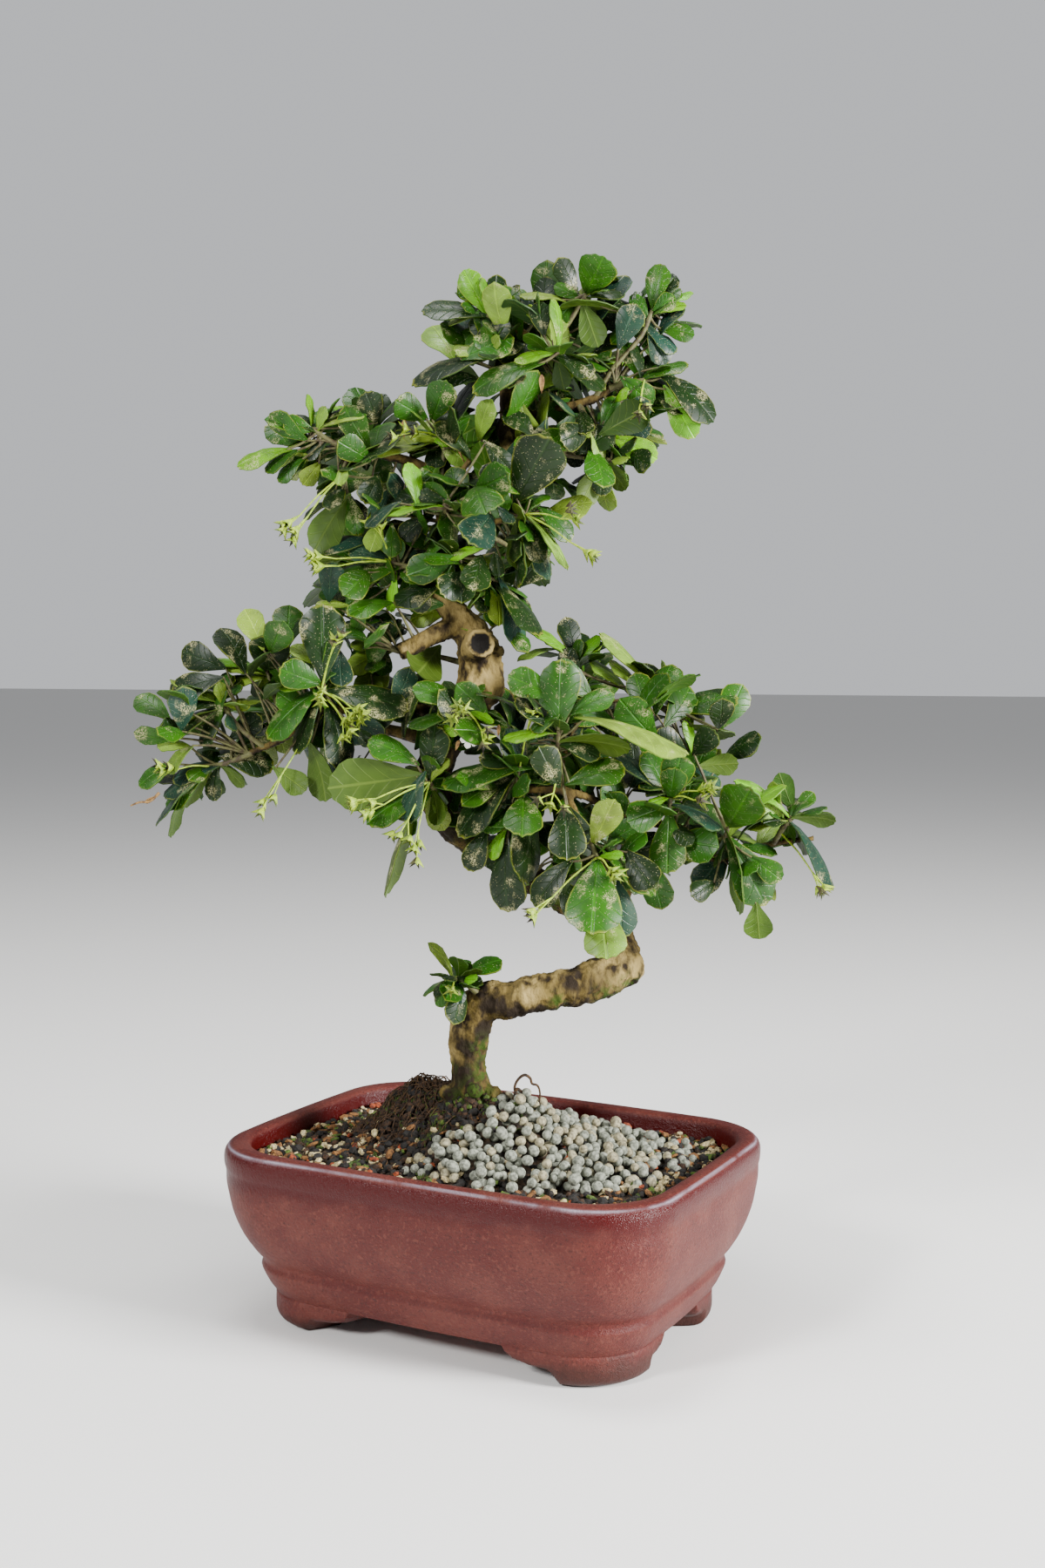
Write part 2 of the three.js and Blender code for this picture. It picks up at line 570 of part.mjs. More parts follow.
// Sprays: the stem's stations, the leaves as [tip px, tip py, seen width, tone, stalk px, stalk py],
// calyxes as [px, py], and how many hidden leaves stand behind
const SPRAYS = {
  apex_left_tip: {
    stem: [[592, 378, 2, 7], [575, 370, 2, 6], [559, 362, 2, 5]],
    leaves: [[532, 309, 30, "Y"], [484, 354, 24, "D"], [586, 329, 26, "M"], [553, 394, 20, "D"]],
    hidden: 1,
  },
  apex_left_low: {
    stem: [[604, 398, 2, 7], [584, 406, 3, 6], [562, 410, 5, 5]],
    leaves: [[521, 397, 14, "P"], [545, 386, 14, "M"], [471, 438, 20, "D"],
      [577, 402, 16, "D", 605, 395]],
    hidden: 1,
  },
  apex_front: {
    stem: [[608, 412, 3, 8], [628, 413, 9, 6], [641, 404, 14, 5]],
    leaves: [[541, 448, 26, "M", 625, 415], [618, 346, 26, "D", 625, 388], [683, 430, 22, "D"],
      [697, 445, 18, "D"]],
    hidden: 1,
  },
  apex_top: {
    stem: [[630, 394, 2, 9], [652, 372, 4, 6], [672, 338, 6, 5]],
    leaves: [[692, 297, 45, "M"], [643, 348, 18, "U", 722, 360], [687, 399, 32, "U"]],
    hidden: 1,
  },
  apex_right_tip: {
    stem: [[684, 457, 1, 8], [700, 428, 3, 6], [736, 386, 2, 6], [749, 357, 0, 5]],
    leaves: [[758, 302, 28, "M"], [775, 340, 22, "M"], [798, 383, 20, "M", 755, 377],
      [713, 380, 18, "D"], [765, 420, 26, "B"]],
    hidden: 1,
  },
  apex_right_low: {
    stem: [[700, 446, 2, 9], [720, 440, 3, 7], [740, 436, 5, 5]],
    leaves: [[750, 464, 30, "M", 712, 432], [822, 482, 30, "D", 757, 428],
      [798, 503, 34, "Y", 762, 442], [708, 455, 22, "M", 690, 490]],
    calyxes: [[733, 476]],
    hidden: 1,
  },
  apex_right_under: {
    stem: [[636, 520, 2, 8], [665, 524, 2, 7], [702, 528, 3, 5]],
    leaves: [[755, 527, 30, "Y", 700, 500], [665, 580, 28, "U"], [690, 570, 25, "D"],
      [720, 562, 22, "U"]],
    hidden: 1,
  },
  apex_right_mid: {
    stem: [[664, 462, 1, 9], [672, 478, 3, 6], [677, 492, 5, 5]],
    leaves: [[646, 505, 34, "D"], [672, 498, 24, "D", 668, 470]],
    hidden: 1,
  },
  centre_right: {
    stem: [[574, 598, 11, 8], [588, 595, 13, 6], [603, 590, 17, 5]],
    leaves: [[632, 503, 62, "D", 590, 578], [658, 619, 24, "M", 618, 582],
      [625, 645, 26, "D", 595, 603], [632, 665, 22, "B"], [602, 655, 34, "U"]],
    calyxes: [[675, 635], [663, 598]],
    hidden: 1,
  },
  upper_left_tip: {
    stem: [[404, 516, 0, 9], [384, 509, 0, 7], [358, 492, 0, 5]],
    leaves: [[420, 450, 30, "D", 435, 488], [325, 485, 24, "M"], [271, 533, 18, "Y", 335, 515],
      [348, 556, 22, "P", 368, 530]],
    hidden: 1,
  },
  upper_left_mid: {
    stem: [[406, 515, 0, 8], [398, 530, 2, 6], [390, 548, 4, 5]],
    leaves: [[418, 512, 18, "B", 385, 524], [420, 577, 30, "D", 435, 545],
      [360, 632, 40, "U", 402, 566], [412, 615, 24, "M", 400, 568]],
    calyxes: [[325, 610], [338, 612]],
    hidden: 1,
  },
  upper_back: {
    stem: [[506, 552, -1, 8], [509, 530, 0, 6], [511, 505, 0, 5]],
    leaves: [[455, 460, 32, "M", 492, 482], [512, 438, 35, "M", 495, 485], [545, 432, 20, "D"],
      [493, 478, 28, "D", 545, 470]],
    calyxes: [[464, 492]],
    hidden: 1,
  },
  centre: {
    stem: [[514, 604, 2, 10], [513, 594, 9, 7], [510, 580, 16, 5]],
    leaves: [[588, 542, 26, "D", 555, 505], [583, 545, 40, "M", 545, 563],
      [470, 530, 20, "Y", 480, 584], [479, 567, 18, "D", 512, 574], [556, 586, 50, "M", 545, 558],
      [540, 622, 46, "B", 565, 590]],
    hidden: 1,
  },
  mid_left: {
    stem: [[500, 662, 2, 9], [478, 653, 3, 6], [449, 645, 4, 5]],
    leaves: [[364, 645, 18, "U", 396, 640], [400, 630, 24, "B"], [425, 632, 24, "P", 437, 598],
      [450, 640, 22, "M", 450, 600], [460, 620, 26, "D", 490, 590], [384, 665, 30, "M"],
      [395, 682, 36, "M", 425, 655], [408, 728, 18, "M", 418, 690], [485, 705, 26, "D", 478, 662]],
    calyxes: [[362, 652], [359, 640], [432, 600]],
    hidden: 1,
  },
  mid_centre: {
    stem: [[505, 648, 1, 9], [516, 642, 7, 6], [528, 638, 13, 5]],
    leaves: [[466, 660, 36, "M"], [543, 678, 36, "D", 553, 636], [508, 680, 34, "D", 538, 658],
      [572, 662, 18, "D", 568, 632]],
    hidden: 0,
  },
  mid_right: {
    stem: [[512, 676, 1, 10], [540, 668, 5, 7], [566, 664, 8, 5]],
    leaves: [[597, 745, 26, "B", 572, 660], [622, 728, 20, "D"], [570, 720, 20, "M"],
      [612, 700, 24, "D"]],
    hidden: 1,
  },
  lower_left_tip: {
    stem: [[290, 864, 2, 8], [266, 874, 1, 7], [243, 880, 0, 5]],
    leaves: [[190, 928, 20, "M"], [208, 927, 18, "U"], [243, 920, 20, "D"], [186, 912, 18, "B"],
      [197, 895, 22, "B"], [158, 901, 20, "M", 205, 875], [315, 880, 32, "D", 250, 868],
      [300, 822, 28, "D", 262, 850]],
    calyxes: [[185, 885]],
    hidden: 1,
  },
  lower_left_up: {
    stem: [[304, 858, 3, 7], [280, 840, 4, 6], [252, 806, 2, 5]],
    leaves: [[207, 788, 18, "P"], [205, 806, 20, "D"], [190, 845, 20, "D"], [228, 855, 18, "D"]],
    hidden: 1,
  },
  lower_left_back: {
    stem: [[328, 845, 3, 7], [318, 810, -1, 5], [307, 772, -6, 4]],
    leaves: [[311, 731, 48, "D"], [257, 761, 14, "P"], [265, 782, 14, "P"], [295, 788, 12, "U"]],
    hidden: 1,
  },
  lower_left_mid: {
    stem: [[374, 816, 8, 7], [373, 800, 12, 6], [371, 784, 15, 5]],
    leaves: [[370, 693, 54, "D"], [322, 768, 36, "M"], [305, 847, 30, "M"], [338, 866, 22, "D"],
      [470, 815, 36, "D"], [427, 855, 18, "D", 405, 835], [395, 885, 34, "D"],
      [376, 920, 30, "U", 355, 850], [352, 908, 30, "U", 313, 880]],
    calyxes: [[368, 806], [405, 822], [417, 820], [403, 840], [301, 922], [385, 733]],
    hidden: 1,
  },
  left_behind: {
    stem: [[536, 762, -2, 9], [500, 753, -6, 6], [470, 748, -6, 5], [440, 745, -4, 4]],
    leaves: [[448, 715, 24, "D"], [438, 775, 22, "M"], [420, 800, 34, "U", 430, 757],
      [397, 770, 24, "P"], [478, 775, 50, "U", 505, 742]],
    hidden: 1,
  },
  front_left: {
    stem: [[506, 918, 4, 10], [500, 909, 12, 8], [493, 898, 20, 6]],
    leaves: [[377, 905, 62, "U", 487, 890], [423, 848, 30, "M", 482, 878], [500, 832, 36, "D"],
      [465, 945, 26, "B", 488, 885], [420, 945, 30, "M"], [505, 948, 20, "U"]],
    calyxes: [[405, 925], [418, 935], [458, 960], [475, 975]],
    hidden: 0,
  },
  front_left_high: {
    stem: [[522, 836, 4, 9], [530, 826, 12, 6], [536, 816, 20, 5]],
    leaves: [[475, 785, 26, "M"], [509, 842, 20, "Y", 545, 822]],
    calyxes: [[535, 812], [520, 825], [560, 848]],
    hidden: 1,
  },
  front_centre_left: {
    stem: [[588, 907, 15, 8], [592, 894, 19, 6], [597, 880, 23, 5]],
    leaves: [[506, 900, 26, "M", 612, 880], [550, 868, 20, "D"], [525, 960, 34, "D"],
      [537, 1000, 30, "D", 560, 950], [560, 930, 28, "M"], [600, 958, 46, "M", 602, 912],
      [582, 1048, 42, "D", 582, 962], [610, 1015, 34, "D"]],
    calyxes: [[610, 818]],
    hidden: 1,
  },
  front_centre: {
    stem: [[645, 886, 22, 7], [641, 862, 27, 6], [641, 838, 31, 5]],
    leaves: [[583, 775, 36, "M", 640, 800], [645, 757, 48, "M"], [592, 800, 24, "D"],
      [705, 795, 24, "M", 650, 822], [792, 864, 18, "P", 660, 822], [725, 858, 24, "U"],
      [690, 868, 20, "D"], [620, 858, 36, "D", 643, 905], [718, 880, 34, "M", 648, 900],
      [652, 987, 45, "D", 650, 922], [672, 972, 30, "D", 650, 922]],
    calyxes: [[632, 925]],
    hidden: 0,
  },
  front_low: {
    stem: [[664, 940, 26, 8], [676, 962, 29, 7], [686, 984, 32, 5]],
    leaves: [[680, 1072, 66, "M"], [612, 1040, 36, "D", 658, 985], [715, 1078, 40, "B", 708, 1005],
      [697, 1100, 50, "P", 690, 1035], [705, 920, 36, "P"], [750, 1020, 40, "D", 718, 975],
      [755, 1026, 20, "M"]],
    calyxes: [[703, 1000], [612, 1050]],
    hidden: 1,
  },
  top_back_right: {
    stem: [[686, 812, 10, 6], [672, 788, 2, 5], [660, 760, -4, 4]],
    leaves: [[610, 717, 12, "Y"], [688, 729, 14, "Y"], [664, 733, 14, "M"],
      [678, 757, 14, "P", 722, 795], [700, 758, 12, "P", 738, 795], [645, 745, 24, "D"]],
    hidden: 1,
  },
  right_up: {
    stem: [[730, 803, 3, 6], [750, 803, 0, 6], [770, 800, -2, 5]],
    leaves: [[848, 800, 30, "M", 765, 818], [752, 842, 32, "D", 790, 866]],
    hidden: 1,
  },
  right_mid: {
    stem: [[766, 950, 13, 7], [768, 936, 17, 6], [770, 915, 20, 5]],
    leaves: [[782, 868, 40, "M"], [775, 883, 32, "M"], [740, 862, 24, "M"], [722, 942, 38, "M"],
      [766, 1003, 44, "M"]],
    calyxes: [[815, 905], [808, 920]],
    hidden: 1,
  },
  right_end: {
    stem: [[822, 986, 6, 8], [830, 970, 10, 7], [836, 950, 14, 5]],
    leaves: [[860, 908, 56, "M"], [820, 839, 30, "D", 795, 868], [848, 876, 26, "U", 800, 880],
      [880, 1040, 50, "M"], [898, 1010, 28, "M", 860, 982], [893, 1030, 20, "P"],
      [872, 1079, 34, "U", 868, 1035], [795, 1028, 26, "D", 822, 1012]],
    hidden: 1,
  },
  right_tip: {
    stem: [[888, 968, 3, 7], [900, 950, 7, 6], [908, 938, 10, 5]],
    leaves: [[960, 940, 18, "U"], [961, 1020, 12, "B"]],
    calyxes: [[948, 1020]],
    hidden: 1,
  },
  basal_sprout: {
    stem: [[548, 1140, 6, 8], [536, 1130, 9, 6], [524, 1122, 11, 5]],
    leaves: [[497, 1143, 12, "D"], [527, 1153, 17, "B"]],
    calyxes: [[518, 1137]],
    hidden: 0,
  },
  back_apex: {
    stem: [[622, 425, -19, 7], [640, 425, -26, 6], [656, 424, -32, 5]],
    leaves: [],
    hidden: 6,
  },
  back_upper_right: {
    stem: [[660, 492, -24, 7], [680, 488, -30, 6], [698, 486, -36, 5]],
    leaves: [],
    hidden: 6,
  },
  back_upper_left: {
    stem: [[455, 524, -23, 7], [440, 515, -28, 6], [424, 508, -34, 5]],
    leaves: [],
    hidden: 6,
  },
  back_mid_left: {
    stem: [[448, 655, -23, 7], [432, 655, -28, 6], [416, 652, -34, 5]],
    leaves: [],
    hidden: 6,
  },
  back_centre: {
    stem: [[566, 618, -21, 7], [575, 622, -26, 6], [585, 628, -33, 5]],
    leaves: [],
    hidden: 6,
  },
  back_lower_left: {
    stem: [[370, 828, -23, 7], [345, 825, -28, 6], [325, 822, -33, 5]],
    leaves: [],
    hidden: 6,
  },
  back_lower_centre: {
    stem: [[590, 905, -25, 7], [605, 900, -30, 6], [618, 894, -37, 5]],
    leaves: [],
    hidden: 6,
  },
  back_lower_right: {
    stem: [[765, 948, -23, 7], [778, 930, -26, 6], [792, 914, -31, 5]],
    leaves: [],
    hidden: 6,
  },
  back_low: {
    stem: [[679, 1006, -30, 7], [682, 1000, -34, 6], [690, 992, -40, 5]],
    leaves: [],
    hidden: 6,
  },
  back_mid: {
    stem: [[627, 800, -29, 7], [640, 800, -34, 6], [654, 796, -40, 5]],
    leaves: [],
    hidden: 6,
  },
};

// Shifts toward or away from the eye that a leaf tries, until it clears its neighbours
const SHIFTS = [0, 3, -3, 6, -6, 9, -9, 12, -12, 15, -15];
const CLEAR = 0.5;
const CROSSING_LIMIT = 0.5; // mm3 that a leaf may share with a leaf of its own spray

function nearestOn(stem, point) {
  let best = stem[0];
  for (let i = 1; i < stem.length; i++) {
    const line = new THREE.Line3(stem[i - 1], stem[i]);
    const at = line.closestPointToPoint(point, true, new THREE.Vector3());
    if (at.distanceTo(point) < best.distanceTo(point)) best = at;
  }
  return best;
}

function calyx(px, py, bud, stem) {
  const at = seen(px, py, bud[2] + CALYX.toward);
  const root = nearestOn(stem, at);
  const out = at.clone().sub(root).normalize();
  const cup = new THREE.ConeGeometry(CALYX.radius, CALYX.height, CALYX.sides);
  cup.applyQuaternion(new THREE.Quaternion().setFromUnitVectors(new THREE.Vector3(0, -1, 0), out));
  cup.translate(at.x, at.y, at.z);
  return solidOf(cup).add(tube([root, at], CALYX.stalk));
}

function boxOf(solid) {
  const { min, max } = solid.boundingBox();
  return new THREE.Box3(new THREE.Vector3(...min), new THREE.Vector3(...max)).expandByScalar(CLEAR);
}

function isClear(candidate, others) {
  const box = boxOf(candidate);
  return others.every(
    (other) => !box.intersectsBox(other.box) || candidate.minGap(other.solid, CLEAR) >= CLEAR,
  );
}

// Volume that a candidate shares with leaves of its own spray
function crossing(candidate, own) {
  const box = boxOf(candidate);
  let shared = 0;
  for (const other of own) {
    if (box.intersectsBox(other.box)) shared += candidate.intersect(other.solid).volume();
  }
  return shared;
}

// The first of a leaf's tries that clears every other piece and hardly crosses its own spray
function settle(tryAt, own, others) {
  let best = null;
  for (const shift of SHIFTS) {
    const candidate = tryAt(shift);
    if (!isClear(candidate, others)) continue;
    const shared = crossing(candidate, own);
    if (!best || shared < best.shared) best = { solid: candidate, box: boxOf(candidate), shared };
    if (shared < CROSSING_LIMIT) break;
  }
  return best;
}

function makeSprays(trunkCut, ground) {
  const stems = new Map();
  for (const [name, { stem }] of Object.entries(SPRAYS)) {
    const solid = limb(stem, { sides: 4 });
    const path = stem.map(([px, py, toward]) => seen(px, py, toward));
    stems.set(name, { name, path, solid, box: boxOf(solid) });
  }
  const placed = [...stems.values()];
  const bodies = new Map();
  for (const [name, spray] of Object.entries(SPRAYS)) {
    const { path, solid: stem } = stems.get(name);
    const bud = spray.stem[spray.stem.length - 1];
    const others = [...ground, ...placed.filter((piece) => piece.name !== name)];
    const own = [];
    const add = (tryAt) => {
      const leaf = settle(tryAt, own, others);
      if (!leaf) return;
      own.push(leaf);
      placed.push({ name, ...leaf });
    };
    spray.leaves.forEach((row, order) => {
      const place = leafPlace(path, order, spray.leaves.length);
      add((shift) => blade(readLeaf(row, bud, place, shift)));
    });
    for (const [px, py] of spray.calyxes ?? []) {
      add((shift) => calyx(px, py, [bud[0], bud[1], bud[2] + shift], path));
    }
    for (let i = 0; i < spray.hidden; i++) {
      add((shift) => blade(hiddenLeaf(spray.leaves.length ? turned(path) : path, i, shift)));
    }
    const whole = joined([stem, ...own.map((leaf) => leaf.solid)]);
    bodies.set(name, largest(whole.subtract(trunkCut)));
  }
  return bodies;
}

const object = new THREE.Group();
const trunk = makeTrunk(0);
const trunkCut = makeTrunk(SEAT);
const pot = makePot();
const soil = makeSoil(trunkCut);
const heap = makeHeap(soil, trunkCut);
const ground = [pot, soil, heap].map((solid) => ({ solid, box: boxOf(solid) }));

object.add(meshOf("pot", pot, 0x8b544a, 0.45));
object.add(meshOf("soil", soil, 0x2e261d, 0.95));
object.add(meshOf("pellets", heap, 0xb9b6a6, 0.9));
object.add(meshOf("trunk", trunk, 0x8a7750, 0.9));
for (const [name, solid] of makeSprays(trunkCut, ground)) {
  const tones = SPRAYS[name].leaves.map(([, , , tone]) => new THREE.Color(TONES[tone]));
  const color = new THREE.Color(0, 0, 0);
  for (const tone of tones) color.add(tone.multiplyScalar(1 / tones.length));
  object.add(meshOf(`spray_${name}`, solid, tones.length ? color : TONES.M, 0.5));
}

// The origin moves from the pot's centre to the middle of the whole object's box
const middle = new THREE.Box3().setFromObject(object).getCenter(new THREE.Vector3());
object.position.set(...[middle.x, middle.y].map((value) => -Math.round(value / GRID) * GRID), 0);

export default object;
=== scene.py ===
"""Looks of a fukien tea bonsai in its glazed pot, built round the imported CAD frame.

Places are worked out in millimetres from the pot's centre, as the photo's camera sees them, and
each finished mesh is then moved into the row frame in metres.
"""

import logging
import math
import random
from dataclasses import dataclass, field
from enum import Enum
from typing import Callable, Iterable, Sequence

import bmesh
import bpy
from mathutils import Matrix, Quaternion, Vector, kdtree, noise
from mathutils.bvhtree import BVHTree

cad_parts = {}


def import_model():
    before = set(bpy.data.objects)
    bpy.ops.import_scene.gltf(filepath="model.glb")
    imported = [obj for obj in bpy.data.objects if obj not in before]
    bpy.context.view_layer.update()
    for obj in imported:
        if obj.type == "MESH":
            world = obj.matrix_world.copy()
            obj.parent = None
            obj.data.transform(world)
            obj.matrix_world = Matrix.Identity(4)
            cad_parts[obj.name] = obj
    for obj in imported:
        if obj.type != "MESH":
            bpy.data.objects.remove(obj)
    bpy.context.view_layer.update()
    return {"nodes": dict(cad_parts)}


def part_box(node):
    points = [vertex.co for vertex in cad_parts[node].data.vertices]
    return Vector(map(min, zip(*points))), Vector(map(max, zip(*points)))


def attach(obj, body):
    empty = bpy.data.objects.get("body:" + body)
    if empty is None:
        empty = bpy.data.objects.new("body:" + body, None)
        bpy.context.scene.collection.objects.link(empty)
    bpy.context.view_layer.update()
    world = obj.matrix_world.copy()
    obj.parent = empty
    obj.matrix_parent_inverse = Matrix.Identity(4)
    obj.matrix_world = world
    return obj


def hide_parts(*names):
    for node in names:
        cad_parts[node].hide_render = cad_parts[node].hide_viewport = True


LOG = logging.getLogger("bonsai")
MM = 0.001
UP = Vector((0, 0, 1))
GOLDEN_ANGLE = 2.39996
CURVE_STEPS = 3
Row = Sequence


# The photo's camera


@dataclass(frozen=True)
class Sight:
    """The camera that the photo was fitted to: pixels, radians and millimetres."""

    width: int = 1200
    height: int = 1800
    focal: float = 2000
    pitch: float = math.radians(3.87)
    turn: float = math.radians(-27.9)
    back: float = 565
    up: float = 213.9
    aside: float = 9.4

    def turned(self, x: float, y: float, z: float) -> Vector:
        """Turns a point from the camera's bearing to the pot's."""
        c, s = math.cos(self.turn), math.sin(self.turn)
        return Vector((x * c + y * s, y * c - x * s, z))

    def seen(self, px: float, py: float, toward: float) -> Vector:
        """Finds the point behind a pixel.

        Args:
            px: Pixels from the left.
            py: Pixels from the top.
            toward: Millimetres nearer to the eye than the pot's centre.

        Returns:
            The point in the pot's frame.
        """
        right = (px - self.width / 2) / self.focal
        rise = (self.height / 2 - py) / self.focal
        ahead = math.cos(self.pitch) + math.sin(self.pitch) * rise
        reach = (self.back - toward) / ahead
        drop = (math.cos(self.pitch) * rise - math.sin(self.pitch)) * reach
        return self.turned(right * reach + self.aside, ahead * reach - self.back, drop + self.up)

    def pixel(self, point: Vector) -> tuple:
        """Finds where a point shows.

        Args:
            point: A point in the pot's frame.

        Returns:
            Pixels from the left and from the top.
        """
        c, s = math.cos(self.turn), math.sin(self.turn)
        x = point.x * c - point.y * s - self.aside
        y = point.x * s + point.y * c + self.back
        z = point.z - self.up
        depth = y * math.cos(self.pitch) - z * math.sin(self.pitch)
        rise = y * math.sin(self.pitch) + z * math.cos(self.pitch)
        return self.width / 2 + self.focal * x / depth, self.height / 2 - self.focal * rise / depth

    def scale(self, toward: float) -> float:
        """Gives the millimetres that a pixel covers."""
        return (self.back - toward) / self.focal

    @property
    def eye(self) -> Vector:
        """Gives the camera's place."""
        return self.turned(self.aside, -self.back, self.up)


SIGHT = Sight()
FOOT = SIGHT.seen(540, 1262, 0)  # where the trunk enters the soil


def pot_origin() -> Vector:
    """Finds the point on the floor below the pot's middle, in the row frame, in metres."""
    low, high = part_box("pot")
    return Vector(((low.x + high.x) / 2, (low.y + high.y) / 2, 0))


# Meshes


def smooth_path(stations: Sequence[Vector], radii: Sequence[float], per: int) -> tuple:
    """Runs a centripetal curve through stations.

    Args:
        stations: The points to pass.
        radii: The radius at each of them.
        per: Steps between two stations.

    Returns:
        The points and their radii.
    """
    ends = [stations[0] * 2 - stations[1], *stations, stations[-1] * 2 - stations[-2]]
    points, sizes = [], []
    spans = len(stations) - 1
    for i in range(spans):
        a, b, c, d = ends[i : i + 4]
        before, mid, after = (max((q - p).length, 1e-6) ** 0.5 for p, q in ((a, b), (b, c), (c, d)))
        t0 = ((b - a) / before - (c - a) / (before + mid) + (c - b) / mid) * mid
        t1 = ((c - b) / mid - (d - b) / (mid + after) + (d - c) / after) * mid
        square, cube = c * 3 - b * 3 - t0 * 2 - t1, b * 2 - c * 2 + t0 + t1
        for k in range(per + (i == spans - 1)):
            t = k / per
            points.append(b + t0 * t + square * t**2 + cube * t**3)
            sizes.append(radii[i] + (radii[i + 1] - radii[i]) * t)
    return points, sizes


def rounded(rows: Row, per: int) -> list:
    """Runs a curve through a flat profile."""
    at = [Vector((inset, height, 0)) for inset, height in rows]
    return [(point.x, point.y) for point in smooth_path(at, [0] * len(at), per)[0]]


def between(rows: Row, at: float) -> float:
    """Reads a table of [place, value] rows along straight lines.

    Args:
        rows: The table, by rising place.
        at: The place.

    Returns:
        The value there, or the last one.
    """
    for (a, low), (b, high) in zip(rows, rows[1:]):
        if at <= b + 1e-6:
            return low + (high - low) * (at - a) / (b - a)
    return rows[-1][1]


def drift(rng: random.Random, spread: float) -> Vector:
    """Draws a small vector."""
    return Vector([rng.gauss(0, spread) for _ in range(3)])


def search_tree(points: Sequence[Vector]) -> kdtree.KDTree:
    """Makes a search tree of points.

    Args:
        points: The points.

    Returns:
        The tree.
    """
    tree = kdtree.KDTree(len(points))
    for i, point in enumerate(points):
        tree.insert(point, i)
    tree.balance()
    return tree


def tubes(paths: Iterable[tuple], half_sides: int) -> bpy.types.Mesh:
    """Makes round tubes of varying radius as one mesh.

    Args:
        paths: A list of points and a list of radii for each tube.
        half_sides: Half the number of a tube's sides, less two.

    Returns:
        The mesh.
    """
    curve = bpy.data.curves.new("tubes", "CURVE")
    curve.dimensions = "3D"
    curve.bevel_depth = 1
    curve.bevel_resolution = half_sides
    curve.use_fill_caps = True
    for points, radii in paths:
        spline = curve.splines.new("POLY")
        spline.points.add(len(points) - 1)
        for knot, point, radius in zip(spline.points, points, radii):
            knot.co = (*point, 1)
            knot.radius = radius
    holder = bpy.data.objects.new("tubes", curve)
    mesh = bpy.data.meshes.new_from_object(holder)
    bpy.data.objects.remove(holder)
    bpy.data.curves.remove(curve)
    return mesh


def placed(bm: bmesh.types.BMesh, name: str) -> bpy.types.Object:
    """Turns a mesh under construction into an object of the scene, and frees it.

    Args:
        bm: The mesh.
        name: The object's name.

    Returns:
        The object.
    """
    mesh = bpy.data.meshes.new(name)
    bm.to_mesh(mesh)
    bm.free()
    made = bpy.data.objects.new(name, mesh)
    bpy.context.scene.collection.objects.link(made)
    return made


def applied(made: bpy.types.Object, modifier: bpy.types.Modifier) -> bpy.types.Mesh:
    """Swaps an object's mesh for what its modifier makes of it.

    Args:
        made: The object.
        modifier: Its only modifier.

    Returns:
        The new mesh.
    """
    graph = bpy.context.evaluated_depsgraph_get()
    mesh = bpy.data.meshes.new_from_object(made.evaluated_get(graph))
    made.modifiers.remove(modifier)
    old, made.data = made.data, mesh
    bpy.data.meshes.remove(old)
    mesh.name = made.name
    return mesh


def warped_grid(bm: bmesh.types.BMesh, columns: int, rows: int, place: Callable) -> None:
    """Adds a grid, moves each corner to its place and joins the corners that meet.

    Args:
        bm: The mesh to add to.
        columns: Cells across.
        rows: Cells along.
        place: A function of column and row that gives the point.
    """
    made = bmesh.ops.create_grid(bm, x_segments=columns, y_segments=rows, size=1)["verts"]
    for vertex in made:
        i = round((vertex.co.x + 1) / 2 * columns)
        j = round((vertex.co.y + 1) / 2 * rows)
        vertex.co = place(i, j)
    bmesh.ops.remove_doubles(bm, verts=made, dist=1e-4)


def paint_faces(vertices: Iterable[bmesh.types.BMVert], slot: int) -> None:
    """Gives the faces round some vertices a material.

    Args:
        vertices: The vertices.
        slot: The material's slot.
    """
    for vertex in vertices:
        for face in vertex.link_faces:
            face.material_index = slot


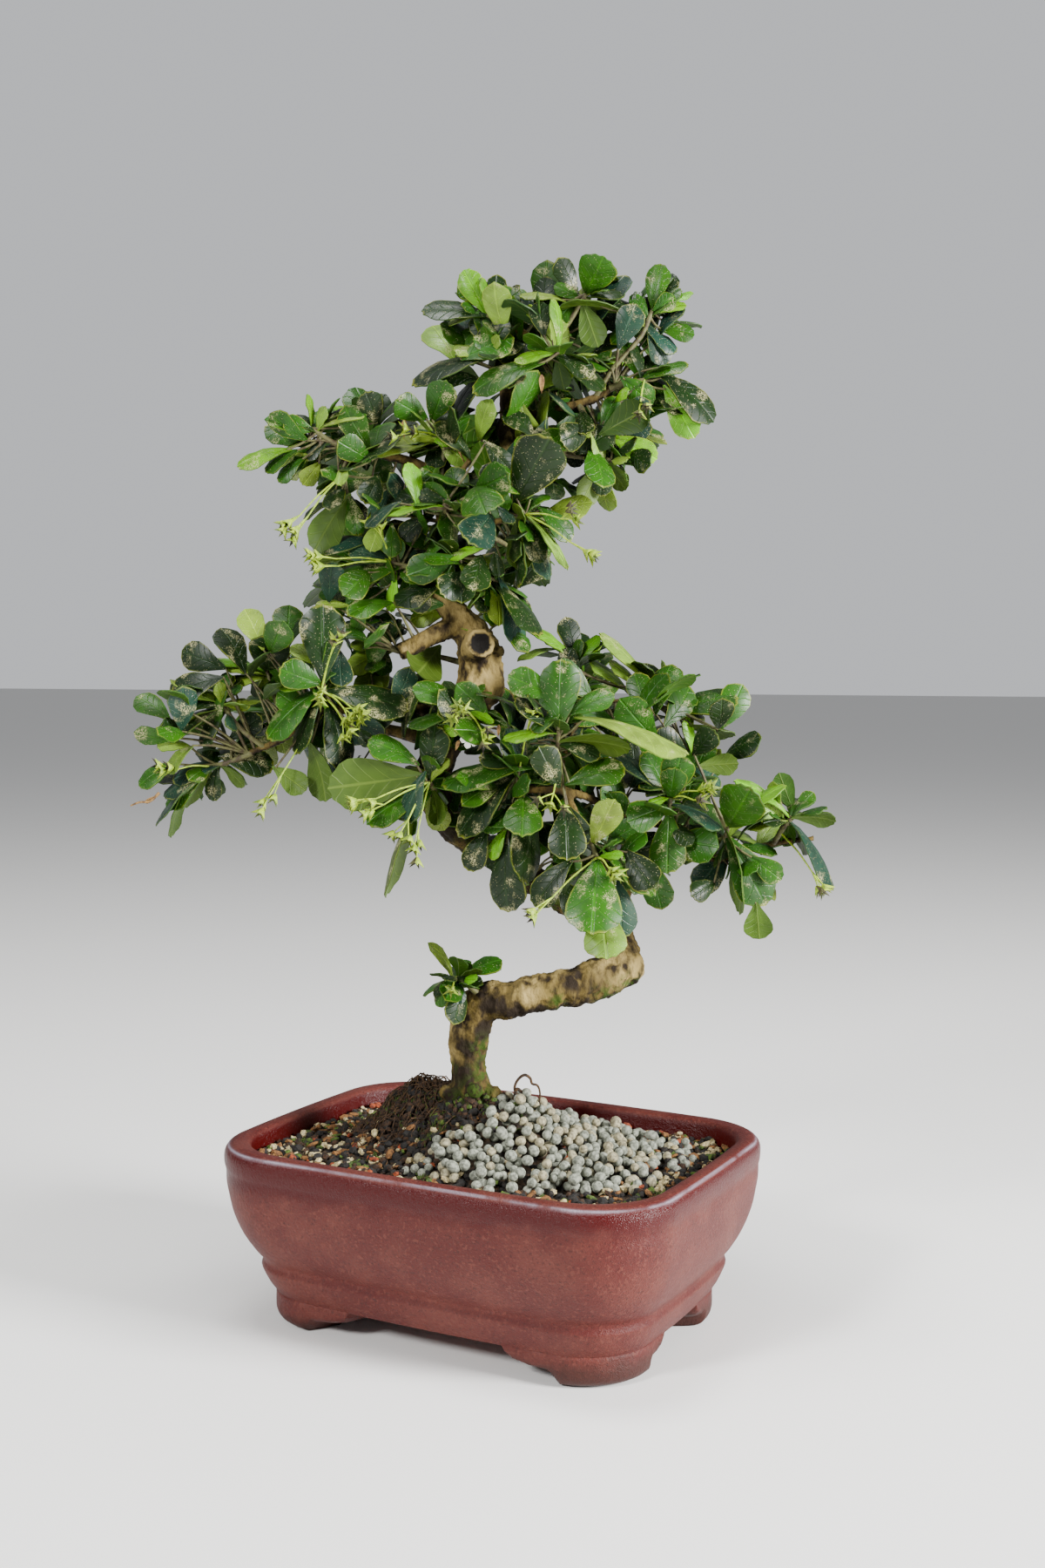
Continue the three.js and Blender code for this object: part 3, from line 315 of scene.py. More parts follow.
class Piece:
    """A piece under construction: one mesh, in millimetres, with its materials."""

    def __init__(self, name: str, materials: Sequence[bpy.types.Material], origin: Vector) -> None:
        """Starts the mesh.

        Args:
            name: The piece's name.
            materials: Its materials, by slot.
            origin: The pot's centre in the row frame.
        """
        self.name, self.materials, self.origin = name, materials, origin
        self.bm = bmesh.new()
        self.bm.loops.layers.uv.new("UVMap")
        self.tint = self.bm.verts.layers.float_color.new("Tint")

    def take(self, mesh: bpy.types.Mesh, slot: int = 0, keep: bool = False) -> list:
        """Adds a mesh.

        Args:
            mesh: The mesh to add.
            slot: The material of its faces.
            keep: Whether its faces keep their own material numbers.

        Returns:
            Its vertices here.
        """
        vertices, faces = len(self.bm.verts), len(self.bm.faces)
        self.bm.from_mesh(mesh)
        self.bm.verts.ensure_lookup_table()
        self.bm.faces.ensure_lookup_table()
        if not keep:
            for face in self.bm.faces[faces:]:
                face.material_index = slot
        return self.bm.verts[vertices:]

    def ball(self, at: Vector, size: Vector, turn: Quaternion, slot: int, detail: int) -> None:
        """Adds a rough ball.

        Args:
            at: Its centre.
            size: Its half extents.
            turn: How it is turned.
            slot: Its material.
            detail: How finely it is divided.
        """
        matrix = Matrix.LocRotScale(at, turn, size)
        made = bmesh.ops.create_icosphere(self.bm, subdivisions=detail, radius=1, matrix=matrix)
        paint_faces(made["verts"], slot)

    def finish(self, material_slot: str, *stands_for: str, smooth: bool = True) -> bpy.types.Object:
        """Turns the piece into an object that rides on the frame.

        Args:
            material_slot: The record's material slot; not used.
            *stands_for: The CAD nodes it replaces.
            smooth: Whether its faces are shaded smooth.

        Returns:
            The object.
        """
        self.bm.transform(Matrix.Translation(self.origin) @ Matrix.Scale(MM, 4))
        made = placed(self.bm, self.name)
        mesh = made.data
        mesh.polygons.foreach_set("use_smooth", [smooth] * len(mesh.polygons))
        for material in self.materials:
            mesh.materials.append(material)
        mesh.update()
        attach(made, "root")
        if stands_for:
            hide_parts(*stands_for)
        LOG.info("%s: %d faces", self.name, len(mesh.polygons))
        return made


# Finishes


def linear(code: str) -> tuple:
    """Turns an sRGB hex colour linear."""
    parts = [int(code[i : i + 2], 16) / 255 for i in (0, 2, 4)]
    return (*[c / 12.92 if c <= 0.04045 else ((c + 0.055) / 1.055) ** 2.4 for c in parts], 1)


def per_metre(cell: float) -> float:
    """Turns a pattern's cell size into a texture's scale."""
    return 1 / (cell * MM)


class Node(Enum):
    """The nodes in use: type, settings, the inputs in the order they are given, and the output."""

    PLACE = ("TexCoord", {}, (), "Object")
    UV = ("UVMap", {"uv_map": "UVMap"}, (), 0)
    TINT = ("Attribute", {"attribute_name": "Tint"}, (), "Color")
    TINT_ALPHA = ("Attribute", {"attribute_name": "Tint"}, (), "Alpha")
    CAMERA_RAY = ("LightPath", {}, (), "Is Camera Ray")
    X = ("SeparateXYZ", {}, (0,), 0)
    Y = ("SeparateXYZ", {}, (0,), 1)
    Z = ("SeparateXYZ", {}, (0,), 2)
    RED = ("SeparateColor", {}, (0,), 0)
    GREEN = ("SeparateColor", {}, (0,), 1)
    BLUE = ("SeparateColor", {}, (0,), 2)
    ADD = ("Math", {"operation": "ADD"}, (0, 1), 0)
    SUBTRACT = ("Math", {"operation": "SUBTRACT"}, (0, 1), 0)
    MULTIPLY = ("Math", {"operation": "MULTIPLY"}, (0, 1), 0)
    MULTIPLY_ADD = ("Math", {"operation": "MULTIPLY_ADD"}, (0, 1, 2), 0)
    MAXIMUM = ("Math", {"operation": "MAXIMUM"}, (0, 1), 0)
    ABSOLUTE = ("Math", {"operation": "ABSOLUTE"}, (0,), 0)
    PINGPONG = ("Math", {"operation": "PINGPONG"}, (0, 1), 0)
    STRETCH = ("VectorMath", {"operation": "MULTIPLY"}, (0, 1), 0)
    RAMP = ("MapRange", {"interpolation_type": "SMOOTHSTEP"}, (0, 1, 2), 0)
    MIX = ("Mix", {"data_type": "RGBA"}, (0, 6, 7), 2)
    TIMES = ("Mix", {"data_type": "RGBA", "blend_type": "MULTIPLY"}, (0, 6, 7), 2)
    NOISE = ("TexNoise", {}, ("Vector", "Scale", "Detail"), 0)
    CELLS = ("TexVoronoi", {}, ("Vector", "Scale"), "Distance")
    BUMP = ("Bump", {}, ("Height", "Distance", "Strength"), 0)


class Nodes:
    """A node tree, with the one function that adds a node with its settings and links."""

    def __init__(self, tree: bpy.types.NodeTree) -> None:
        """Holds the tree."""
        self.tree = tree

    def put(self, socket: bpy.types.NodeSocket, value: object) -> None:
        """Sets an input.

        Args:
            socket: The input.
            value: A value, or another node's output to link.
        """
        if isinstance(value, bpy.types.NodeSocket):
            self.tree.links.new(value, socket)
        else:
            socket.default_value = value

    def add(self, node: Node, *values: object) -> bpy.types.NodeSocket:
        """Adds a node.

        Args:
            node: Which node.
            *values: A value or a socket for each of its inputs.

        Returns:
            Its output.
        """
        kind, settings, inputs, output = node.value
        made = self.tree.nodes.new("ShaderNode" + kind)
        for key, value in settings.items():
            setattr(made, key, value)
        for key, value in zip(inputs, values):
            self.put(made.inputs[key], value)
        return made.outputs[output]


class Paint(Nodes):
    """A material in the making."""

    def __init__(self, name: str) -> None:
        """Starts the material.

        Args:
            name: Its name.
        """
        self.material = bpy.data.materials.new(name)
        self.material.use_nodes = True
        super().__init__(self.material.node_tree)
        self.place = self.add(Node.PLACE)

    def close(self, color: object, roughness: object, relief: object = None, depth: float = 0,
              specular: float = 0.5) -> bpy.types.Material:
        """Sets the shader's inputs.

        Args:
            color: The base colour.
            roughness: The roughness.
            relief: The relief, from 0 to 1.
            depth: The relief's depth in millimetres.
            specular: How strongly it mirrors.

        Returns:
            The material.
        """
        wanted = {"Base Color": color, "Roughness": roughness, "Specular IOR Level": specular}
        if relief is not None:
            wanted["Normal"] = self.add(Node.BUMP, relief, depth * MM, 1.0)
        for key, value in wanted.items():
            self.put(self.tree.nodes["Principled BSDF"].inputs[key], value)
        return self.material


@dataclass(frozen=True)
class Patches:
    """Patches of a tone: size in mm, finer layers, noise that starts and ends them, and share."""

    cell: float
    detail: int
    start: float
    end: float
    share: float
    tone: tuple

    def over(self, n: Paint, color: object) -> bpy.types.NodeSocket:
        """Lays the patches over a colour.

        Args:
            n: The material.
            color: The colour below.

        Returns:
            The new colour.
        """
        pattern = n.add(Node.NOISE, n.place, per_metre(self.cell), self.detail)
        shown = n.add(Node.MULTIPLY, n.add(Node.RAMP, pattern, self.start, self.end), self.share)
        return n.add(Node.MIX, shown, color, self.tone)


@dataclass(frozen=True)
class Glaze:
    """Stoneware under a satin, speckled red-brown glaze that breaks dark under the lip.

    The heights are in metres. The blush and flecks give the eye the fired glaze's depth, and the
    dark band shows where it ran thick. The pale rim line is a painted highlight along the lip's
    outer rounding, partly a paler glaze where it runs thin; the dark crease where the wall meets
    the base moulding and the darker feet near the floor are painted shade.
    """

    clay: tuple = linear("4b1a16")
    band: tuple = linear("3d0303")
    # painted highlight colour for the lip's outer rounding, partly a paler glaze where it runs thin
    edge: tuple = linear("9d9aa8")
    # painted shade on the feet, darker towards the floor
    foot_shade: tuple = linear("2e1812")
    patches: Row = (
        Patches(16, 5, 0.35, 0.7, 0.4, linear("67362c")),
        Patches(0.8, 2, 0.52, 0.72, 0.55, linear("240b08")),
        Patches(1.1, 1, 0.56, 0.68, 0.5, linear("67362c")),
    )
    wander: float = 0.009
    slope: float = -0.035
    band_rise: Row = (0.0455, 0.053)
    band_end: Row = (0.0586, 0.0574)
    # heights of the painted shade in the crease where the wall meets the base moulding
    crease_shade_rise: Row = (0.0182, 0.0192)
    crease_shade_end: Row = (0.0212, 0.0196)
    # heights between which the painted foot shade fades, darkest at the floor
    foot_shade_heights: Row = (0.0085, 0.002)

    def build(self) -> bpy.types.Material:
        """Builds the material.

        Returns:
            The material.
        """
        n = Paint("stoneware_glaze")
        add, place = n.add, n.place
        height = add(Node.Z, place)
        waves = add(Node.NOISE, place, per_metre(6), 5)
        wander = add(Node.MULTIPLY_ADD, waves, self.wander, -self.wander / 2)
        tilt = add(Node.MULTIPLY_ADD, add(Node.X, place), self.slope, wander)
        level = add(Node.ADD, height, tilt)
        color = self.clay
        for patches in self.patches:
            color = patches.over(n, color)
        dark = add(Node.MULTIPLY, add(Node.RAMP, level, *self.band_rise),
                   add(Node.RAMP, height, *self.band_end))
        # painted shade in the crease where the wall meets the base moulding, in the band's colour
        crease_shade = add(Node.MULTIPLY, add(Node.RAMP, height, *self.crease_shade_rise),
                     add(Node.RAMP, height, *self.crease_shade_end))
        breaks = add(Node.RAMP, add(Node.NOISE, place, per_metre(9), 3), 0.25, 0.6)
        # painted highlight: the Tint's red marks the lip's outer rounding, broken up by noise
        rim = add(Node.MULTIPLY, add(Node.RED, add(Node.TINT)), breaks)
        # painted shade: the feet darken towards the floor
        foot = add(Node.RAMP, level, *self.foot_shade_heights)
        color = add(Node.MIX, dark, color, self.band)
        # mixes in the painted crease shade, the painted highlight on the lip and the painted foot
        # shade
        for shown, share, tone in ((crease_shade, 0.35, self.band), (rim, 0.65, self.edge),
                                   (foot, 0.75, self.foot_shade)):
            color = add(Node.MIX, add(Node.MULTIPLY, shown, share), color, tone)
        relief = add(Node.ADD, add(Node.NOISE, place, per_metre(1.1), 2),
                     add(Node.NOISE, place, per_metre(0.35), 1))
        rough = add(Node.MULTIPLY_ADD, dark, -0.18, 0.48)
        return n.close(color, rough, relief, 0.22, 0.22)


@dataclass(frozen=True)
class Bark:
    """Grown bark: tan plates over dark furrows, with stains, bare pale wood and green moss.

    The Tint's red marks pale wood, its green painted shade, its blue moss, and an alpha of 0 the
    sawn hollow, painted near black as shade. They give the eye an old trunk's weathered side, its
    mossy foot and its cut.
    """

    tan: tuple = linear("615126")
    # dark furrow colour, also used for the painted shade
    dark: tuple = linear("1e150a")
    pale: tuple = linear("988450")
    moss: tuple = linear("2f430b")
    # painted shade: near black for the sawn hollow
    hollow_shade: tuple = linear("0b0704")
    plate: float = 4.6
    plate_shape: tuple = (1, 1, 1 / 1.9)
    grain: float = 1.2
    grain_shape: tuple = (1, 1, 1 / 1.5)

    def build(self) -> bpy.types.Material:
        """Builds the material.

        Returns:
            The material.
        """
        n = Paint("bonsai_bark")
        add, tint = n.add, n.add(Node.TINT)
        flakes, fine = (add(Node.NOISE, add(Node.STRETCH, n.place, shape), per_metre(cell), finer)
                        for cell, shape, finer in ((self.plate, self.plate_shape, 6),
                                                   (self.grain, self.grain_shape, 5)))
        color = add(Node.MIX, add(Node.RAMP, flakes, 0.32, 0.6), self.dark, self.tan)
        color = Patches(13, 5, 0.5, 0.66, 0.4, self.dark).over(n, color)
        specks = add(Node.MULTIPLY, add(Node.RAMP, fine, 0.48, 0.66), 0.5)
        bare = add(Node.MULTIPLY, add(Node.RED, tint), add(Node.RAMP, flakes, 0.36, 0.55))
        # painted shade: the Tint's green, darker on bark that faces down and where the photo's bark
        # is dark
        bark_shade = add(Node.MULTIPLY, add(Node.GREEN, tint), add(Node.RAMP, flakes, 0.8, 0.4))
        clumps = add(Node.RAMP, add(Node.NOISE, n.place, per_metre(2.2), 4), 0.42, 0.56)
        growth = add(Node.MULTIPLY, add(Node.BLUE, tint), clumps)
        # mixes in the dark specks, the pale wood, the painted shade and the moss
        for shown, tone in ((specks, self.dark), (bare, self.pale),
                            (add(Node.RAMP, bark_shade, 0.1, 0.62), self.dark), (growth, self.moss)):
            color = add(Node.MIX, shown, color, tone)
        # painted shade: the sawn hollow turns near black
        color = add(Node.MIX, add(Node.TINT_ALPHA), self.hollow_shade, color)
        relief = add(Node.ADD, flakes, add(Node.MULTIPLY, fine, 0.6))
        return n.close(color, 0.85, relief, 1.1, 0.2)


@dataclass(frozen=True)
class LeafFace:
    """A living leaf's glossy upper face, or its dull underside, tinted leaf by leaf.

    The veins, the light rim and the pale bases of its hairs give the eye a leaf's build, and the
    uneven gloss its leathery skin. Pale glints in patches, in the hairs' colour, are painted
    highlights.
    """

    under: bool = False
    shade: tuple = linear("070d05")
    # colour of the hairs' pale bases, also used for the painted highlights
    hair_and_highlight: tuple = linear("b3ad7e")
    gold: tuple = linear("8a8f2c")
    olive: tuple = linear("2f4a0b")
    pale_vein: tuple = linear("64782c")
    lighter: tuple = (2.1, 2.0, 1.5, 1)
    hair_cell: float = 0.85

    def build(self) -> bpy.types.Material:
        """Builds the material.

        Returns:
            The material.
        """
        n = Paint("leaf_underside" if self.under else "leaf_upper_face")
        add, place, uv = n.add, n.place, n.add(Node.UV)
        aside = add(Node.ABSOLUTE, add(Node.SUBTRACT, add(Node.X, uv), 0.5))
        across, along = add(Node.MULTIPLY, aside, 2.0), add(Node.Y, uv)
        fan = add(Node.MULTIPLY_ADD, across, -1.6, add(Node.MULTIPLY, along, 6.0))
        side_veins = add(Node.RAMP, add(Node.PINGPONG, fan, 0.5), 0.09, 0.0)
        vein = add(Node.MAXIMUM, add(Node.RAMP, across, 0.09, 0.015),
                   add(Node.MULTIPLY, side_veins, 0.55))
        patches = add(Node.NOISE, place, per_metre(4.5), 3)
        shown = add(Node.MULTIPLY, add(Node.RAMP, patches, 0.4, 0.68), 0.35)
        color = add(Node.MIX, shown, add(Node.TINT), self.shade)
        if self.under:
            color = add(Node.MIX, 0.5, color, self.olive)
            color = add(Node.MIX, add(Node.MULTIPLY, vein, 0.35), color, self.pale_vein)
            return n.close(color, 0.5, vein, 0.12, 0.2)
        bright = add(Node.TIMES, 1.0, color, self.lighter)
        rim = add(Node.MAXIMUM, add(Node.RAMP, across, 0.9, 1.0), add(Node.RAMP, along, 0.95, 1.0))
        breaks = add(Node.RAMP, add(Node.NOISE, place, per_metre(9), 2), 0.4, 0.6)
        # painted highlight: pale glints in patches, in the hairs' colour
        tufts = add(Node.RAMP, add(Node.NOISE, place, per_metre(7), 3), 0.57, 0.68)
        specks = add(Node.RAMP, add(Node.NOISE, place, per_metre(0.45), 1), 0.4, 0.6)
        glint = add(Node.MULTIPLY, tufts, specks)
        cells = add(Node.CELLS, place, per_metre(self.hair_cell))
        rim = add(Node.MULTIPLY, rim, breaks)
        hairs = add(Node.RAMP, cells, 0.19, 0.114)
        # mixes in the paler veins, the gold rim, the painted glints and the hairs' pale bases
        for shown, share, tone in ((vein, 0.5, bright), (rim, 0.5, self.gold),
                                   (glint, 0.55, self.hair_and_highlight), (hairs, 0.4, self.hair_and_highlight)):
            color = add(Node.MIX, add(Node.MULTIPLY, shown, share), color, tone)
        bumps = add(Node.MULTIPLY, add(Node.RAMP, cells, 0.24, 0.144), 0.6)
        rough = add(Node.MULTIPLY_ADD, patches, 0.4, 0.18)
        return n.close(color, rough, add(Node.SUBTRACT, bumps, vein), 0.14, 0.22)


@dataclass(frozen=True)
class Plain:
    """A small thing's finish: base and patch colours, patch size, roughness and relief in mm."""

    name: str
    base: str
    patch: str
    cell: float = 1.2
    roughness: float = 0.85
    depth: float = 0.25

    def build(self) -> bpy.types.Material:
        """Builds the material.

        Returns:
            The material.
        """
        n = Paint(self.name)
        grain = n.add(Node.NOISE, n.place, per_metre(self.cell), 4)
        shown = n.add(Node.RAMP, grain, 0.38, 0.66)
        color = n.add(Node.MIX, shown, linear(self.base), linear(self.patch))
        return n.close(color, self.roughness, grain, self.depth)


class Finish(Enum):
    """The object's materials, each by the real one and what it gives the eye."""

    GLAZE = Glaze()
    BARK = Bark()
    LEAF_UPPER = LeafFace()
    LEAF_UNDER = LeafFace(under=True)
    TWIG = Plain("green_brown_twig", "54542a", "35290f", 2.0, 0.7)  # young bark, green in parts
    CALYX = Plain("calyx_green", "98ae22", "6c8a18", 1.5, 0.6, 0.1)  # fresh, the palest green
    PETAL = Plain("white_petal", "e8e6dc", "d2d0bf", 1.5, 0.6, 0.05)  # soft off-white
    DRIED = Plain("dried_leaf_tissue", "8a6a38", "553a1c", 1.4, 0.8, 0.15)  # withered, papery brown
    EARTH = Plain("dark_bonsai_soil", "130e08", "38260f", 1.6, 0.95, 0.9)  # damp shade in gaps
    CRUMB = Plain("black_soil_crumb", "0c0a08", "1e1710", 1.0, 0.9, 0.4)  # charred bits, near black
    HUMUS = Plain("brown_root_humus", "3a2410", "180f07", 0.9, 0.95, 0.4)  # decayed roots
    PELLET = Plain("grey_akadama_pellet", "8c8f80", "595c50", 0.9, 0.85, 0.2)  # baked clay, chalky
    PELLET_WARM = Plain("beige_akadama_pellet", "9d9678", "67604a", 0.9, 0.85, 0.2)  # warmer ones
    PUMICE = Plain("cream_pumice", "b8aa80", "84744c", 0.8, 0.9, 0.3)  # porous volcanic grit
    CHIP = Plain("tan_bark_chip", "7a5226", "4a2e14", 1.1, 0.9, 0.3)  # torn bark, warm and fibrous
    BRICK = Plain("terracotta_grit", "8e3c14", "57220c", 0.9, 0.9, 0.3)  # fired clay, orange
    FIBRE = Plain("dry_root_fibre", "4a3216", "20150a", 1.2, 0.9, 0.2)  # dead roots, dark threads
    MOSS = Plain("green_moss", "465a12", "1e2c08", 1.0, 0.9, 0.2)  # short growth with deep shade


class Palette:
    """Builds each finish once."""

    def __init__(self) -> None:
        """Builds them all."""
        self.made = {finish: finish.value.build() for finish in Finish}


@dataclass
class Part:
    """A sub-assembly: its materials, and the pot's centre in the row frame, in metres."""

    palette: Palette
    origin: Vector

    def piece(self, name: str, *finishes: Finish) -> Piece:
        """Starts a piece."""
        return Piece(name, [self.palette.made[finish] for finish in finishes], self.origin)


# The pot


@dataclass(frozen=True)
class PotSize:
    """The pot's sizes in millimetres; profiles hold [inset from the rim's outline, height]."""

    half_length: float = 80
    half_width: float = 58.8
    corner: float = 24.5
    bow: float = 2.4
    drain_radius: float = 6
    drain_spacing: float = 54
    foot_top: float = 9.8
    foot_sunk: float = 10.2
    floor: float = 15.2
    base: Row = (
        (13.0, 9.8), (12.2, 11.3), (11.2, 13), (10.2, 15.3), (9.5, 17.2), (9.2, 18.3), (9.35, 19.1)
    )
    wall: Row = (
        (9.75, 20), (9.4, 21.4), (7.7, 23.8), (4.5, 29.6), (2.0, 37), (1.0, 42.5), (0.4, 46.8),
        (0.35, 50)
    )
    lip: Row = (
        (0.3, 51), (0.1, 51.8), (-0.1, 53), (-0.2, 55), (0.05, 57), (1, 58.6), (2.4, 59.35),
        (4.4, 59.4), (6.1, 58.9), (6.9, 57.5), (7.2, 55.5)
    )
    inner: Row = ((7.6, 52), (8.4, 44), (10.6, 34), (13.2, 24), (15.2, 17.4), (17.6, 15.2))
    foot: Row = (
        (12.9, 10.2), (12.9, 7), (12.9, 4.6), (13.1, 2.9), (13.8, 1.3), (15.2, 0.3), (17, 0),
        (21.5, 0), (24.4, 0), (25.3, 0.8), (25.7, 3), (26, 6), (26, 10.2)
    )
    opening: Row = (
        (27.4, 9.8), (28.2, 7.8), (31, 5.6), (36.5, 4.4), (43, 3.9), (45.6, 1.8), (46, 0)
    )
    end_share: float = 0.48

    def quadrant(self, inset: float, counts: tuple) -> list:
        """Follows a quarter of the rounded, slightly bowed outline, from +X to +Y.

        Args:
            inset: How far inside the rim.
            counts: Steps along the end, round the corner and along the side.

        Returns:
            Points as x and y.
        """
        a = self.half_length - inset - self.bow
        b = self.half_width - inset - self.bow
        r = min(self.corner - 0.35 * inset, 0.95 * b)
        end_bow = self.bow * (1 - ((b - r) / b) ** 2)
        side_bow = self.bow * (1 - ((a - r) / a) ** 2)
        points = []
        for i in range(counts[0]):
            y = (b - r) * i / counts[0]
            points.append((a + self.bow * (1 - (y / b) ** 2), y))
        for i in range(counts[1] + 1):
            c, s = (turn(math.pi / 2 * i / counts[1]) for turn in (math.cos, math.sin))
            points.append((a - r + (r + end_bow) * c, b - r + (r + side_bow) * s))
        for i in range(counts[2] - 1, -1, -1):
            x = (a - r) * i / counts[2]
            points.append((x, b + self.bow * (1 - (x / a) ** 2)))
        return points

    def outline(self, inset: float, counts: tuple = (6, 12, 9)) -> list:
        """Follows the whole outline.

        Args:
            inset: How far inside the rim.
            counts: Steps along the end, round the corner and along the side.

        Returns:
            Points as x and y, without a repeated end.
        """
        quarter = self.quadrant(inset, counts)
        far = [(-x, y) for x, y in reversed(quarter[:-1])]
        half = [*quarter, *far][:-1]
        return [*half, *[(-x, -y) for x, y in half]]

    def foot_gap(self, along: float) -> float:
        """Gives the height of the cloud-shaped opening between two feet."""
        return between(self.opening, max(along, self.opening[0][0]))


@dataclass
class Pot(Part):
    """The glazed stoneware pot: moulded wall, rounded lip, cloud feet and drain holes."""

    size: PotSize = field(default_factory=PotSize)
    floor_shares: Row = (0, 0.5)
    # where the painted highlight lies on the lip: how far its surface faces outward, and its spread
    highlight_lean: float = 0.6
    highlight_spread: float = 0.16
    foot_counts: Row = (40, 14, 60)
    drill_depth: float = 14

    def build(self) -> None:
        """Builds the pot in place of its CAD node."""
        size, shares = self.size, self.floor_shares
        piece = self.piece("pot_glazed", Finish.GLAZE)
        sides = (size.base, size.wall, size.lip, size.inner)
        profile = [row for side in sides for row in rounded(side, CURVE_STEPS)]
        rings = [size.outline(inset) for inset, _ in profile]
        count = len(rings[0])
        total = len(profile) + 2 * len(shares)

        def place(i: int, j: int) -> Vector:
            """Gives a corner of the skin.

            Args:
                i: Its number round the pot.
                j: Its number from the base's middle over the lip to the floor's middle.

            Returns:
                The point.
            """
            k = min(max(j - len(shares), 0), len(profile) - 1)
            x, y = rings[k][i % count]
            if j < len(shares):
                return Vector((x * shares[j], y * shares[j], size.foot_top))
            if j - len(shares) > k:
                share = shares[total - 1 - j]
                return Vector((x * share, y * share, size.floor))
            return Vector((x, y, profile[k][1]))

        warped_grid(piece.bm, count, total - 1, place)
        for turned in (1, -1):
            for mirrored in (1, -1):
                self.add_foot(piece.bm, turned, mirrored)
        bmesh.ops.recalc_face_normals(piece.bm, faces=piece.bm.faces[:])
        piece.bm.normal_update()
        # paints a highlight into the Tint's red where the lip's surface faces partly outward
        for vertex in piece.bm.verts:
            flat = Vector((vertex.co.x, vertex.co.y * size.half_length / size.half_width, 0))
            off = abs(vertex.normal.dot(flat.normalized()) - self.highlight_lean)
            line = max(0, 1 - off / self.highlight_spread) if vertex.co.z > size.lip[3][1] else 0
            vertex[piece.tint] = (line, 0, 0, 1)
        self.drill(piece.finish("glazed_stoneware", "pot"))

    def add_foot(self, bm: bmesh.types.BMesh, side_x: int, side_y: int) -> None:
        """Adds a corner foot.

        Args:
            bm: The mesh to add to.
            side_x: 1 or -1.
            side_y: 1 or -1.
        """
        size, counts = self.size, self.foot_counts
        loop = rounded(size.foot, 2)
        loop.append(loop[0])
        rings = [size.quadrant(inset, counts) for inset, _ in loop]
        guide = size.quadrant(size.foot[0][0], counts)
        gaps = [size.foot_gap(y / size.end_share if i < counts[0] + counts[1] / 2 else x)
                for i, (x, y) in enumerate(guide)]
        shown = [i for i, gap in enumerate(gaps) if gap < size.foot_top - 0.05]
        first, last = max(min(shown) - 1, 0), min(max(shown) + 1, len(guide) - 1)

        def place(i: int, j: int) -> Vector:
            """Gives a corner of the foot.

            Args:
                i: Its number round the pot's corner.
                j: Its number round the foot's profile.

            Returns:
                The point.
            """
            x, y = rings[j][first + i]
            low = gaps[first + i]
            height = low + loop[j][1] * (size.foot_sunk - low) / size.foot_sunk
            return Vector((x * side_x, y * side_y, height))

        warped_grid(bm, last - first, len(loop) - 1, place)

    def drill(self, pot: bpy.types.Object) -> None:
        """Cuts the two drain holes through the floor.

        Args:
            pot: The pot.
        """
        bm = bmesh.new()
        radius = self.size.drain_radius
        for side in (-1, 1):
            at = Vector((side * self.size.drain_spacing / 2, 0, self.size.floor - 3))
            bmesh.ops.create_cone(bm, cap_ends=True, segments=32, radius1=radius, radius2=radius,
                                  depth=self.drill_depth, matrix=Matrix.Translation(at))
        bm.transform(Matrix.Translation(self.origin) @ Matrix.Scale(MM, 4))
        cutter = placed(bm, "drains")
        cut = pot.modifiers.new("drains", "BOOLEAN")
        cut.operation, cut.object, cut.solver = "DIFFERENCE", cutter, "EXACT"
        applied(pot, cut)
        mesh = cutter.data
        bpy.data.objects.remove(cutter)
        bpy.data.meshes.remove(mesh)


# The soil and what lies on it


